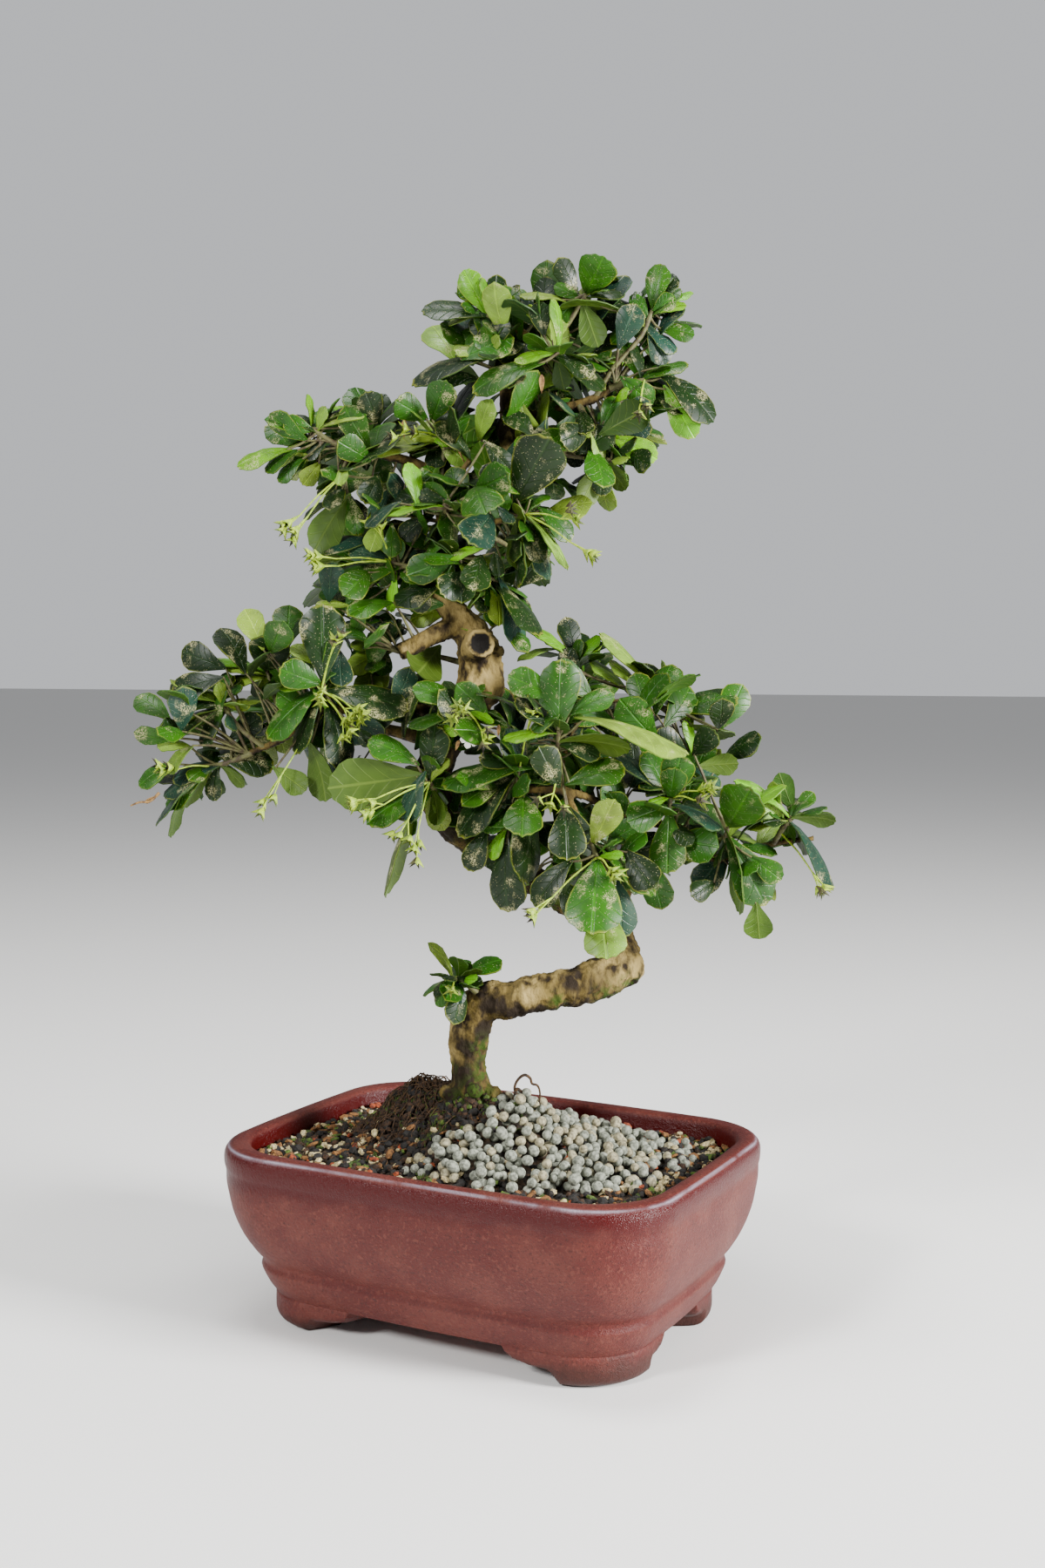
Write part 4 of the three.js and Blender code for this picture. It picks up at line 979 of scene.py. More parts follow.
@dataclass
class Ground(Part):
    """The soil's mound, its crumbs, pellets, grit, roots and moss.

    Its rows are mounds [x, y, height, reach], the heap of pellets [py, left px, right px], soil
    grains [slot, count, radius, on the outer soil alone, shape], roots [px, py, toward] and moss
    tufts [x, y, spread].
    """

    pot: PotSize
    edge: float = 53
    tallest: float = 18
    inset: float = 8.1
    mounds: Row = ((-7, -3, 15, 25), (-33, -2, 9, 15), (14, -8, 10, 20))
    heap: Row = (
        (1235, 592, 640), (1262, 579, 700), (1285, 566, 752), (1298, 552, 780), (1307, 512, 800),
        (1330, 480, 806), (1350, 475, 790), (1372, 560, 745)
    )
    lower: Row = ((18, 15.7), (13.6, 24), (8.8, 44), (8.1, 52))
    shares: Row = (0.86, 0.72, 0.58, 0.45, 0.33, 0.22, 0.12, 0)
    top_rings: int = 14
    ring_step: float = 1.8
    strewn: Row = (74, 53)
    drops: int = 9000
    pellet_radius: Row = (1.35, 1.95)
    trunk_room: float = 8.5
    grains: Row = (
        (0, 1300, 1.25, False, (1, 1, 0.8)), (5, 650, 1.1, False, (1, 1, 0.8)),
        (1, 420, 1.5, True, (1, 0.75, 0.6)), (3, 300, 1.8, True, (1.2, 0.7, 0.4)),
        (2, 150, 1.35, True, (1, 0.8, 0.6)), (4, 260, 1.5, True, (1, 0.9, 0.5))
    )
    mound_crumbs: int = 1100
    foot_crumbs: int = 420
    fine_roots: int = 260
    curls: Row = (
        ((595, 1262, 6), (591, 1248, 7), (596, 1238, 8), (603, 1234, 9), (609, 1238, 9),
         (611, 1244, 9), (617, 1246, 9), (620, 1254, 9), (619, 1268, 8)),
        ((560, 1290, 14), (575, 1276, 15), (590, 1272, 15), (603, 1284, 14)),
        ((590, 1262, 7), (594, 1250, 8), (600, 1256, 8), (595, 1260, 9), (592, 1253, 9))
    )
    foot_moss: int = 1500
    tufts: Row = ((-20, -8, 6), (-34, -8, 6), (-42, -1, 6), (-12, -20, 5), (-14, 14, 6))
    small_tufts: int = 30
    rng: random.Random = field(default_factory=lambda: random.Random(11))

    def build(self) -> None:
        """Builds all that lies in the pot."""
        for step in (self.mound, self.pellets, self.grit, self.roots, self.moss):
            step()

    def height(self, x: float, y: float) -> float:
        """Gives the soil's height.

        Args:
            x: Along the pot.
            y: Across the pot.

        Returns:
            The height.
        """
        rise = sum(h * math.exp(-((x - a) ** 2 + (y - b) ** 2) / s**2)
                   for a, b, h, s in self.mounds)
        grit = 0.5 * math.sin(x * 0.61 + y * 0.23) + 0.5 * math.sin(y * 0.57 - x * 0.31)
        return self.edge + min(rise, self.tallest) + grit

    def on_soil(self, x: float, y: float, rise: float) -> Vector:
        """Gives the point above a place of the soil."""
        return Vector((x, y, self.height(x, y) + rise))

    def inside(self, x: float, y: float, margin: float) -> bool:
        """Tells whether a point is inside the pot.

        Args:
            x: Along the pot.
            y: Across the pot.
            margin: Millimetres kept from the wall.

        Returns:
            Whether it is inside.
        """
        a = self.pot.half_length - self.inset - margin
        b = self.pot.half_width - self.inset - margin
        r = self.pot.corner - 3
        return math.hypot(max(abs(x) - (a - r), 0), max(abs(y) - (b - r), 0)) < r

    def heaped(self, x: float, y: float) -> float:
        """Tells how thickly the pellets lie, by where the photo shows them.

        Args:
            x: Along the pot.
            y: Across the pot.

        Returns:
            0 outside the heap, 1 in its middle.
        """
        px, py = SIGHT.pixel(self.on_soil(x, y, 0))
        for (top, left, right), (low, left2, right2) in zip(self.heap, self.heap[1:]):
            if top <= py < low:
                share = (py - top) / (low - top)
                left, right = left + (left2 - left) * share, right + (right2 - right) * share
                return max(0, min(1, 0.25 + (px - left) / 40, (right - px) / 90))
        return 0

    def bare(self, x: float, y: float, outer: bool) -> float:
        """Tells how likely a grain shows.

        Args:
            x: Along the pot.
            y: Across the pot.
            outer: Whether it belongs on the outer soil, off the root mound and the trunk.

        Returns:
            The likelihood.
        """
        likely = 1 - 0.85 * self.heaped(x, y)
        near_trunk = math.hypot(x - FOOT.x, y - FOOT.y) < 17
        on_mound = math.hypot((x + 27) / 26, (y - 4) / 22) < 1
        return likely * (0.25 if outer and (on_mound or near_trunk) else 1)

    def mound_rise(self, x: float, y: float) -> float:
        """Gives how far the root mound left of the trunk rises over the soil."""
        return 6.5 * math.exp(-(((x + 26) / 16) ** 2) - ((y - 1) / 13) ** 2)

    def on_mound(self) -> tuple:
        """Draws a place on the root mound."""
        return self.rng.gauss(-28, 12), self.rng.gauss(0, 10)

    def turn(self) -> Quaternion:
        """Draws a random turn."""
        axis = Vector([self.rng.uniform(-1, 1) for _ in range(3)]) + UP * 0.01
        return Quaternion(axis.normalized(), self.rng.uniform(0, math.tau))

    def mound(self) -> None:
        """Builds the soil's body in place of its CAD node."""
        piece = self.piece("soil_mound", Finish.EARTH)
        counts = (9, 12, 13)
        rings = [self.pot.outline(inset, counts) for inset, _ in self.lower]
        insets = [self.inset + 0.02 + self.ring_step * k for k in range(self.top_rings)]
        tops = [self.pot.outline(inset, counts) for inset in insets]
        count = len(rings[0])
        total = 1 + len(rings) + len(tops) + len(self.shares)

        def place(i: int, j: int) -> Vector:
            """Gives a corner of the soil's skin.

            Args:
                i: Its number round the pot.
                j: Its number from the bottom's middle to the top's.

            Returns:
                The point.
            """
            if j == 0:
                return Vector((0, 0, self.lower[0][1]))
            if j <= len(rings):
                return Vector((*rings[j - 1][i % count], self.lower[j - 1][1]))
            k = j - 1 - len(rings)
            share = self.shares[k - len(tops)] if k >= len(tops) else 1
            x, y = (value * share for value in tops[min(k, len(tops) - 1)][i % count])
            lump = noise.fractal(Vector((x, y, 3)) * 0.28, 1, 2, 4)
            return self.on_soil(x, y, 0.9 * lump - 0.3)

        warped_grid(piece.bm, count, total - 1, place)
        bmesh.ops.recalc_face_normals(piece.bm, faces=piece.bm.faces[:])
        piece.finish("bonsai_soil", "soil")

    def pellets(self) -> None:
        """Drops the pellets one by one, so that they pile up, in place of their CAD node."""
        piece = self.piece("akadama_pellets", Finish.PELLET, Finish.PELLET_WARM)
        lying = []
        for _ in range(self.drops):
            x, y = self.rng.uniform(-30, 70), self.rng.uniform(-50, 40)
            thick = self.heaped(x, y)
            off_trunk = (Vector((x, y)) - FOOT.to_2d()).length >= self.trunk_room
            if not self.inside(x, y, 2.5) or not off_trunk:
                continue
            if self.rng.random() > 0.02 + 0.5 * thick**1.5 or not thick:
                continue
            r = self.rng.uniform(*self.pellet_radius)
            ground = self.height(x, y) + 0.7 * r
            z = ground
            for a, b, c, size in lying:
                reach = (r + size) ** 2 * 0.92 - (a - x) ** 2 - (b - y) ** 2
                if reach > 0:
                    z = max(z, c + math.sqrt(reach))
            if z - ground > 0.3 + 4.2 * thick**2:
                continue
            lying.append((x, y, z, r))
            long = 1.35 if self.rng.random() < 0.1 else 1.05
            slot = 1 if self.rng.random() < 0.3 else 0
            piece.ball(Vector((x, y, z)), Vector((r * long, r, r * 0.96)), self.turn(), slot, 2)
        LOG.info("%d pellets", len(lying))
        piece.finish("akadama_pellets", "pellets")

    def scatter(self, piece: Piece, slot: int, count: int, size: float, outer: bool,
                shape: tuple) -> None:
        """Strews grains over the soil.

        Args:
            piece: The piece to add to.
            slot: Their material.
            count: How many.
            size: Their mean radius.
            outer: Whether they lie on the outer soil alone.
            shape: Their extents as shares of their radius.
        """
        left, tries = count, 0
        while left and tries < count * 60:
            tries += 1
            x, y = (self.rng.uniform(-reach, reach) for reach in self.strewn)
            if not self.inside(x, y, size) or self.rng.random() > self.bare(x, y, outer):
                continue
            r = size * self.rng.uniform(0.6, 1.4)
            lean = Quaternion((self.rng.uniform(-1, 1), self.rng.uniform(-1, 1), 0.1), 0.6)
            turn = lean @ Quaternion(UP, self.rng.uniform(0, math.tau))
            extents = Vector([r * share * self.rng.uniform(0.75, 1.2) for share in shape])
            rise = self.rng.uniform(-0.1, 0.6) * r
            piece.ball(self.on_soil(x, y, rise), extents, turn, slot, 1)
            left -= 1

    def grit(self) -> None:
        """Builds the crumbs, the chips, the root mound's crumbs and those at the trunk's foot."""
        piece = self.piece("soil_grit", Finish.CRUMB, Finish.PUMICE, Finish.BRICK, Finish.CHIP,
                           Finish.MOSS, Finish.HUMUS)
        for grain in self.grains:
            self.scatter(piece, *grain)
        for _ in range(self.mound_crumbs):
            x, y = self.on_mound()
            if not self.inside(x, y, 3):
                continue
            r = self.rng.uniform(0.7, 1.9)
            at = self.on_soil(x, y, self.mound_rise(x, y) * self.rng.uniform(0.3, 1))
            extents = Vector((r, r * 0.8, r * 0.7))
            piece.ball(at, extents, self.turn(), self.rng.choice((0, 5, 5)), 1)
        for _ in range(self.foot_crumbs):
            turn, reach = self.rng.uniform(0, math.tau), self.rng.uniform(6, 14)
            x, y = FOOT.x + reach * math.cos(turn), FOOT.y + reach * math.sin(turn)
            r = self.rng.uniform(0.7, 1.7)
            at = self.on_soil(x, y, self.rng.uniform(0, 1) * (15 - reach) * 0.45)
            extents = Vector((r, r * 0.85, r * 0.8))
            piece.ball(at, extents, self.turn(), self.rng.choice((0, 0, 5, 4)), 1)
        piece.finish("bonsai_soil", smooth=False)

    def roots(self) -> None:
        """Builds the fine roots over the left mound and the curled dry root by the trunk."""
        paths = []
        for _ in range(self.fine_roots):
            x, y = self.on_mound()
            turn, points, radii = self.rng.uniform(0, math.tau), [], []
            for k in range(6):
                sunk = 1.6 if k in (0, 5) else 0
                rise = self.mound_rise(x, y) + self.rng.uniform(0.2, 2.4) - sunk
                points.append(self.on_soil(x, y, rise))
                radii.append(self.rng.uniform(0.08, 0.24))
                turn += self.rng.uniform(-0.9, 0.9)
                x += 2.3 * math.cos(turn)
                y += 2.3 * math.sin(turn)
            if all(self.inside(point.x, point.y, 3) for point in points):
                paths.append(smooth_path(points, radii, 2))
        for rows in self.curls:
            points = [SIGHT.seen(*row) for row in rows]
            paths.append(smooth_path(points, [0.62 - 0.04 * k for k in range(len(rows))], 4))
        piece = self.piece("dry_roots", Finish.FIBRE)
        piece.take(tubes(paths, 0))
        piece.finish("bonsai_soil")

    def moss(self) -> None:
        """Builds moss as short upright blades round the trunk's foot and on the left mound."""
        piece = self.piece("moss_tufts", Finish.MOSS, Finish.HUMUS)
        rng, places = self.rng, []
        for _ in range(self.foot_moss):
            turn, reach = rng.uniform(0, math.tau), rng.gauss(8.6, 1.8)
            x, y = FOOT.x + reach * math.cos(turn), FOOT.y + reach * math.sin(turn)
            places.append((x, y, 2.6 - 0.2 * reach))
        small = [(rng.uniform(-66, 66), rng.uniform(-46, 46), 2) for _ in range(self.small_tufts)]
        for cx, cy, spread in (*self.tufts, *small):
            for _ in range(int(34 * spread)):
                x, y = rng.gauss(cx, spread * 0.5), rng.gauss(cy, spread * 0.5)
                places.append((x, y, 0.8 * self.mound_rise(x, y)))
        for x, y, rise in places:
            if not self.inside(x, y, 1.5) or self.heaped(x, y) > 0.3:
                continue
            tall = rng.uniform(0.9, 2.4)
            tilt = Quaternion((rng.uniform(-1, 1), rng.uniform(-1, 1), 0.01), rng.uniform(0, 0.9))
            matrix = Matrix.LocRotScale(self.on_soil(x, y, max(0, rise) + tall * 0.3), tilt, None)
            made = bmesh.ops.create_cone(piece.bm, cap_ends=True, segments=3, radius1=0.3,
                                         radius2=0.04, depth=tall, matrix=matrix)["verts"]
            if rng.random() < 0.35:
                paint_faces(made, 1)
        piece.finish("bonsai_soil")


# The wood


TRUNK = (
    (540, 1312, 0, 36), (539, 1290, 0, 44), (539, 1266, 0, 50), (539, 1243, 0, 44), (538, 1220, 0,
    43), (538, 1200, 0, 47), (540, 1180, 1, 51), (547, 1160, 2, 49), (560, 1148, 3, 46), (580, 1149,
    4, 45), (610, 1141, 5, 44), (640, 1136, 4, 45), (665, 1131, 2, 46), (690, 1122, 0, 52), (710,
    1108, -3, 52), (713, 1085, -6, 38), (700, 1064, -8, 34), (665, 1043, -8, 34), (618, 1013, -6,
    34), (572, 984, -4, 36), (530, 956, -1, 38), (504, 926, 0, 40), (497, 894, 1, 42), (507, 860, 2,
    44), (526, 826, 2, 48), (545, 796, 2, 53), (553, 766, 1, 53), (545, 736, 0, 46), (528, 711, 0,
    37), (510, 687, 0, 29), (502, 660, 0, 24), (506, 632, 0, 24), (514, 606, 0, 27), (531, 580, 0,
    26), (552, 558, 0, 26), (572, 535, 0, 27), (587, 512, 0, 32), (590, 490, 0, 36), (587, 466, 0,
    28), (584, 441, 0, 21), (592, 418, 0, 18), (606, 396, 0, 15),
)
BRANCHES = (
    ((505, 634, 0, 19), (507, 600, 0, 15), (506, 562, 0, 14), (492, 540, 0, 13), (470, 530, 0, 12),
    (435, 521, 0, 11), (400, 514, 0, 10)), ((530, 838, 2, 24), (502, 822, 3, 17), (470, 811, 4, 14),
    (420, 815, 6, 12), (372, 817, 8, 11), (345, 833, 6, 10), (325, 848, 4, 9), (285, 865, 2, 8)),
    ((602, 402, 0, 13), (606, 386, 1, 10), (588, 376, 2, 8)), ((594, 412, 1, 14), (612, 412, 4, 9)),
    ((604, 398, 0, 12), (636, 392, 0, 8)), ((588, 480, 0, 22), (612, 478, 0, 15), (640, 470, 0, 13),
    (668, 463, 1, 12), (688, 455, 1, 10), (706, 442, 2, 9)), ((586, 510, 1, 15), (610, 517, 1, 11),
    (640, 521, 2, 9)), ((520, 596, 2, 15), (556, 602, 8, 10), (578, 597, 12, 8)), ((532, 952, 2,
    22), (550, 926, 8, 15), (580, 907, 14, 13), (612, 906, 18, 11), (645, 908, 22, 10), (672, 914,
    20, 10), (700, 928, 17, 10), (735, 940, 15, 10), (768, 951, 13, 9), (790, 966, 10, 9), (822,
    987, 6, 9), (850, 978, 4, 8), (880, 970, 3, 8), (935, 962, 1, 7)), ((644, 908, 22, 8), (646,
    880, 21, 7), (654, 850, 17, 6), (670, 822, 11, 6), (700, 806, 6, 6), (735, 803, 3, 6)), ((650,
    910, 22, 8), (668, 946, 26, 8)), ((585, 440, 0, 15), (600, 425, -12, 9), (640, 425, -26, 6)),
    ((590, 500, 0, 18), (630, 500, -14, 10), (680, 488, -30, 6)), ((508, 585, 0, 13), (482, 545,
    -14, 9), (440, 515, -28, 6)), ((504, 668, 0, 18), (480, 655, -14, 10), (432, 655, -28, 6)),
    ((522, 595, 0, 18), (548, 610, -14, 10), (575, 622, -26, 6)), ((500, 850, 1, 22), (430, 835,
    -14, 11), (345, 825, -28, 6)), ((512, 938, 0, 22), (560, 915, -16, 11), (605, 900, -30, 6)),
    ((700, 1064, -8, 22), (735, 990, -18, 11), (778, 930, -26, 6)), ((665, 1043, -8, 22), (672,
    1020, -22, 11), (682, 1000, -34, 6)), ((552, 790, 0, 24), (595, 800, -18, 11), (640, 800, -34,
    6)),
)
STUBS = (
    ((516, 722, 2, 26), (494, 731, 5, 22), (474, 742, 7, 21), (458, 749, 8, 22)), ((534, 574, 2,
    11), (526, 552, 3, 8), (540, 527, 4, 8), (555, 505, 5, 7)), ((545, 746, 0, 44), (549, 741, 8,
    38), (552, 738, 13, 35)),
)
BURLS = (
    (716, 1108, -3, 50), (590, 492, 0, 40), (571, 747, 5, 16), (560, 785, 3, 40, 1.3), (513, 1254,
    3, 18), (566, 1256, 3, 22), (545, 1252, 9, 20), (500, 870, 3, 34, 1.2),
)


@dataclass
class Wood(Part):
    """The trunk with its branches, stubs and burls, grown together and barked.

    The rows of its spots are [px, py, reach in pixels].
    """

    cell: float = 0.85
    hollow: Row = (553, 737, 15, 25)
    flare_roots: int = 7
    pale_spots: Row = (
        (605, 1116, 20), (636, 1108, 12), (604, 1142, 16), (700, 1095, 24), (722, 1118, 22),
        (690, 1060, 22), (553, 738, 26), (458, 749, 12), (548, 780, 24), (510, 690, 32),
        (578, 520, 36), (522, 1178, 9), (517, 1210, 10), (562, 1128, 10)
    )
    # where the photo's bark is dark, painted as shade
    shade_spots: Row = (
        (657, 1121, 15), (630, 1125, 5), (570, 1155, 17), (556, 1183, 12), (552, 1135, 12),
        (533, 1172, 13), (534, 1205, 12), (530, 1232, 14), (512, 1240, 14), (526, 1264, 36),
        (548, 1275, 26), (505, 925, 55), (500, 880, 35), (560, 830, 35), (590, 480, 40),
        (620, 1015, 35), (560, 560, 30), (600, 440, 26), (593, 1164, 10), (622, 1160, 9)
    )
    moss_spots: Row = (
        (556, 1205, 13), (557, 1232, 15), (549, 1254, 18), (530, 1268, 16), (698, 1145, 13),
        (722, 1132, 12), (650, 1050, 30), (560, 975, 28), (640, 1150, 9), (515, 1225, 8)
    )

    def skeleton(self) -> list:
        """Turns the station lists into paths, with the trunk's first.

        Returns:
            The points and the radii of each path.
        """
        paths = []
        for rows in (TRUNK, *BRANCHES, *STUBS):
            points = [SIGHT.seen(*row[:3]) for row in rows]
            radii = [row[3] / 2 * SIGHT.scale(row[2]) for row in rows]
            paths.append(smooth_path(points, radii, 5))
        return paths

    def build(self) -> list:
        """Builds the wood in place of its CAD node.

        Returns:
            Its paths.
        """
        paths = self.skeleton()
        piece = self.piece("trunk_bark", Finish.BARK)
        piece.take(tubes(paths, 3))
        for px, py, toward, width, *flat in BURLS:
            size = width / 2 * SIGHT.scale(toward)
            extents = Vector((size, size, size * (flat[0] if flat else 1)))
            piece.ball(SIGHT.seen(px, py, toward), extents, Quaternion(), 0, 3)
        piece.take(tubes(self.flare(), 2))
        wood = piece.finish("bark", "trunk")
        grow = wood.modifiers.new("grown_together", "REMESH")
        grow.mode, grow.voxel_size = "VOXEL", self.cell * MM
        made = applied(wood, grow)
        self.carve(made, paths[0])
        made.polygons.foreach_set("use_smooth", [True] * len(made.polygons))
        if not made.materials:
            made.materials.append(self.palette.made[Finish.BARK])
        LOG.info("trunk_bark: %d faces when grown together", len(made.polygons))
        return paths

    def flare(self) -> list:
        """Gives the paths of the root flare's ridges, which run down into the soil.

        Returns:
            The points and the radii of each ridge.
        """
        paths = []
        for k in range(self.flare_roots):
            turn = k * GOLDEN_ANGLE * 1.6
            out = Vector((math.cos(turn), math.sin(turn), 0))
            points = [FOOT + UP * 7 + out * 3, FOOT + out * 7 - UP * 0.5,
                      FOOT + out * (12 + k % 3) - UP * 5]
            paths.append(smooth_path(points, [2.6, 2.4, 1.2], 4))
        return paths

    def carve(self, mesh: bpy.types.Mesh, trunk: tuple) -> None:
        """Raises the bark's relief, sinks the stub's hollow and marks pale, dark and mossy bark.

        Args:
            mesh: The mesh, in the row frame.
            trunk: The trunk's path.
        """
        points, radii = trunk
        tree = search_tree(points)
        hole = SIGHT.seen(*self.hollow[:3])
        hole_radius = self.hollow[3] / 2 * SIGHT.scale(self.hollow[2])
        normals = [vertex.normal.copy() for vertex in mesh.vertices]
        marks = []
        for vertex, normal in zip(mesh.vertices, normals):
            at = (vertex.co - self.origin) / MM
            _, nearest, apart = tree.find(at)
            thick = min(1, radii[nearest] / 6) if apart < 1.5 * radii[nearest] else 0.25
            plates = noise.fractal(Vector((at.x * 0.3, at.y * 0.3, at.z * 0.16)), 1, 2.1, 4)
            flakes = noise.fractal(at * 0.62, 1, 2.1, 3)
            # painted shade on bark that faces down
            shade = max(0, -normal.z - 0.15 + 0.5 * flakes)
            at += normal * thick * (0.85 * plates + 0.4 * flakes - 0.1)
            inside = at - hole
            sawn = inside.length < hole_radius * 1.15
            if sawn:
                at = hole + inside.normalized() * max(hole_radius, inside.length)
            vertex.co = at * MM + self.origin
            px, py = SIGHT.pixel(at)
            pale, dark, moss = (max(math.exp(-(math.hypot(px - x, py - y) / reach) ** 2)
                                    for x, y, reach in rows)
                                for rows in (self.pale_spots, self.shade_spots, self.moss_spots))
            # the green channel is painted shade; an alpha of 0 marks the hollow, painted near black
            # as shade
            marks.extend((pale, min(1, max(dark, shade)), moss, 0 if sawn else 1))
        tint = mesh.attributes.get("Tint") or mesh.attributes.new("Tint", "FLOAT_COLOR", "POINT")
        tint.data.foreach_set("color", marks)
        mesh.update()


# Leaves and sprays


class Tone(Enum):
    """What the photo shows of a leaf, as its colour in sRGB."""

    Y = "578f08"
    M = "224a07"
    D = "112507"
    B = "1c3627"
    P = "67832a"
    U = "45571b"

    def drawn(self, rng: random.Random) -> tuple:
        """Draws a leaf's colour.

        Args:
            rng: The draw.

        Returns:
            Its linear colour.
        """
        r, g, b, _ = linear(self.value)
        light, warm = rng.uniform(0.75, 1.3), rng.uniform(0.88, 1.14)
        return r * light * warm, g * light, b * light / warm, 1


@dataclass(frozen=True)
class Blade:
    """One leaf: where its stalk starts, its base, its tip, how it faces, its width and its arch."""

    root: Vector
    base: Vector
    tip: Vector
    normal: Vector
    width: float
    arch: float

    def axes(self) -> tuple:
        """Gives the blade's axes.

        Returns:
            The vector from base to tip, the side's and the face's directions.
        """
        along = self.tip - self.base
        side = along.normalized().cross(self.normal).normalized()
        return along, side, side.cross(along).normalized()

    def samples(self) -> list:
        """Gives the corners of the CAD leaf that tell where it stands.

        Returns:
            The tip, the shoulders and the rib's top.
        """
        along, side, face = self.axes()
        half = self.width / 2
        low = face * (self.arch * along.length * 0.54 - 0.15 * half)
        rib = face * (self.arch * along.length * 0.99 + 0.5)
        shoulder = self.base + along * 0.84 + low
        return [self.tip, shoulder + side * half * 0.94, shoulder - side * half * 0.94,
                self.base + along * 0.55 + rib]


class LeafShape:
    """A leaf's mesh, cut from a grid: rounded, widest past its middle, with teeth at the tip."""

    widths: Row = ((0, 0.07), (0.07, 0.12), (0.2, 0.38), (0.35, 0.64), (0.5, 0.84), (0.65, 0.97),
                   (0.8, 1.0), (0.91, 0.96), (1.0, 0.84))
    tooth: float = 0.02

    def __init__(self, columns: int, rows: int) -> None:
        """Cuts the mesh.

        Args:
            columns: Cells across.
            rows: Cells along.
        """
        bm = bmesh.new()
        bm.loops.layers.uv.new("UVMap")
        bm.verts.layers.float_color.new("Tint")
        bmesh.ops.create_grid(bm, x_segments=columns, y_segments=rows, size=1, calc_uvs=True)
        bmesh.ops.solidify(bm, geom=bm.faces[:], thickness=0.2)
        for face in bm.faces:
            face.smooth = True
            face.material_index = 0 if face.normal.z > 0.5 else 1
        for edge in bm.edges:
            edge.smooth = len({abs(face.normal.z) > 0.5 for face in edge.link_faces}) == 1
        high = max(vertex.co.z for vertex in bm.verts)
        self.spots = []
        for vertex in bm.verts:
            across, level = vertex.co.x, (vertex.co.y + 1) / 2
            along = level * (1 - 0.15 * abs(across) ** 2.2 * level**3)
            if level > 0.99 and round((across + 1) / 2 * columns) % 2:
                along -= self.tooth
            layer = 0 if high - vertex.co.z < 0.05 else 1
            self.spots.append((along, between(self.widths, level) * across, layer))
        self.mesh = bpy.data.meshes.new("leaf_template")
        bm.to_mesh(self.mesh)
        bm.free()

    def lay(self, piece: Piece, blade: Blade, tint: tuple, rng: random.Random,
            thick: float = 0.34) -> None:
        """Adds a leaf to a piece.

        Args:
            piece: The piece.
            blade: The leaf's place and size.
            tint: Its linear colour.
            rng: The draw for its curl.
            thick: Its thickness in millimetres.
        """
        along, side, face = blade.axes()
        length, half = along.length, blade.width / 2
        curl, droop, twist, ripple = (
            rng.uniform(*ends) for ends in ((0.08, 0.34), (0, 0.05), (-0.06, 0.06), (0, math.tau)))
        for vertex, (a, b, layer) in zip(piece.take(self.mesh, keep=True), self.spots):
            lift = blade.arch * length * 4 * a * (1 - a) - curl * half * abs(b) ** 1.8
            lift -= droop * length * a**3 - twist * half * b
            lift += 0.22 * math.sin(a * 17 + ripple) * abs(b) - 0.35 * max(0, 1 - abs(b) * 6)
            vertex.co = blade.base + along * a + side * (b * half) + face * (lift - layer * thick)
            vertex[piece.tint] = tint


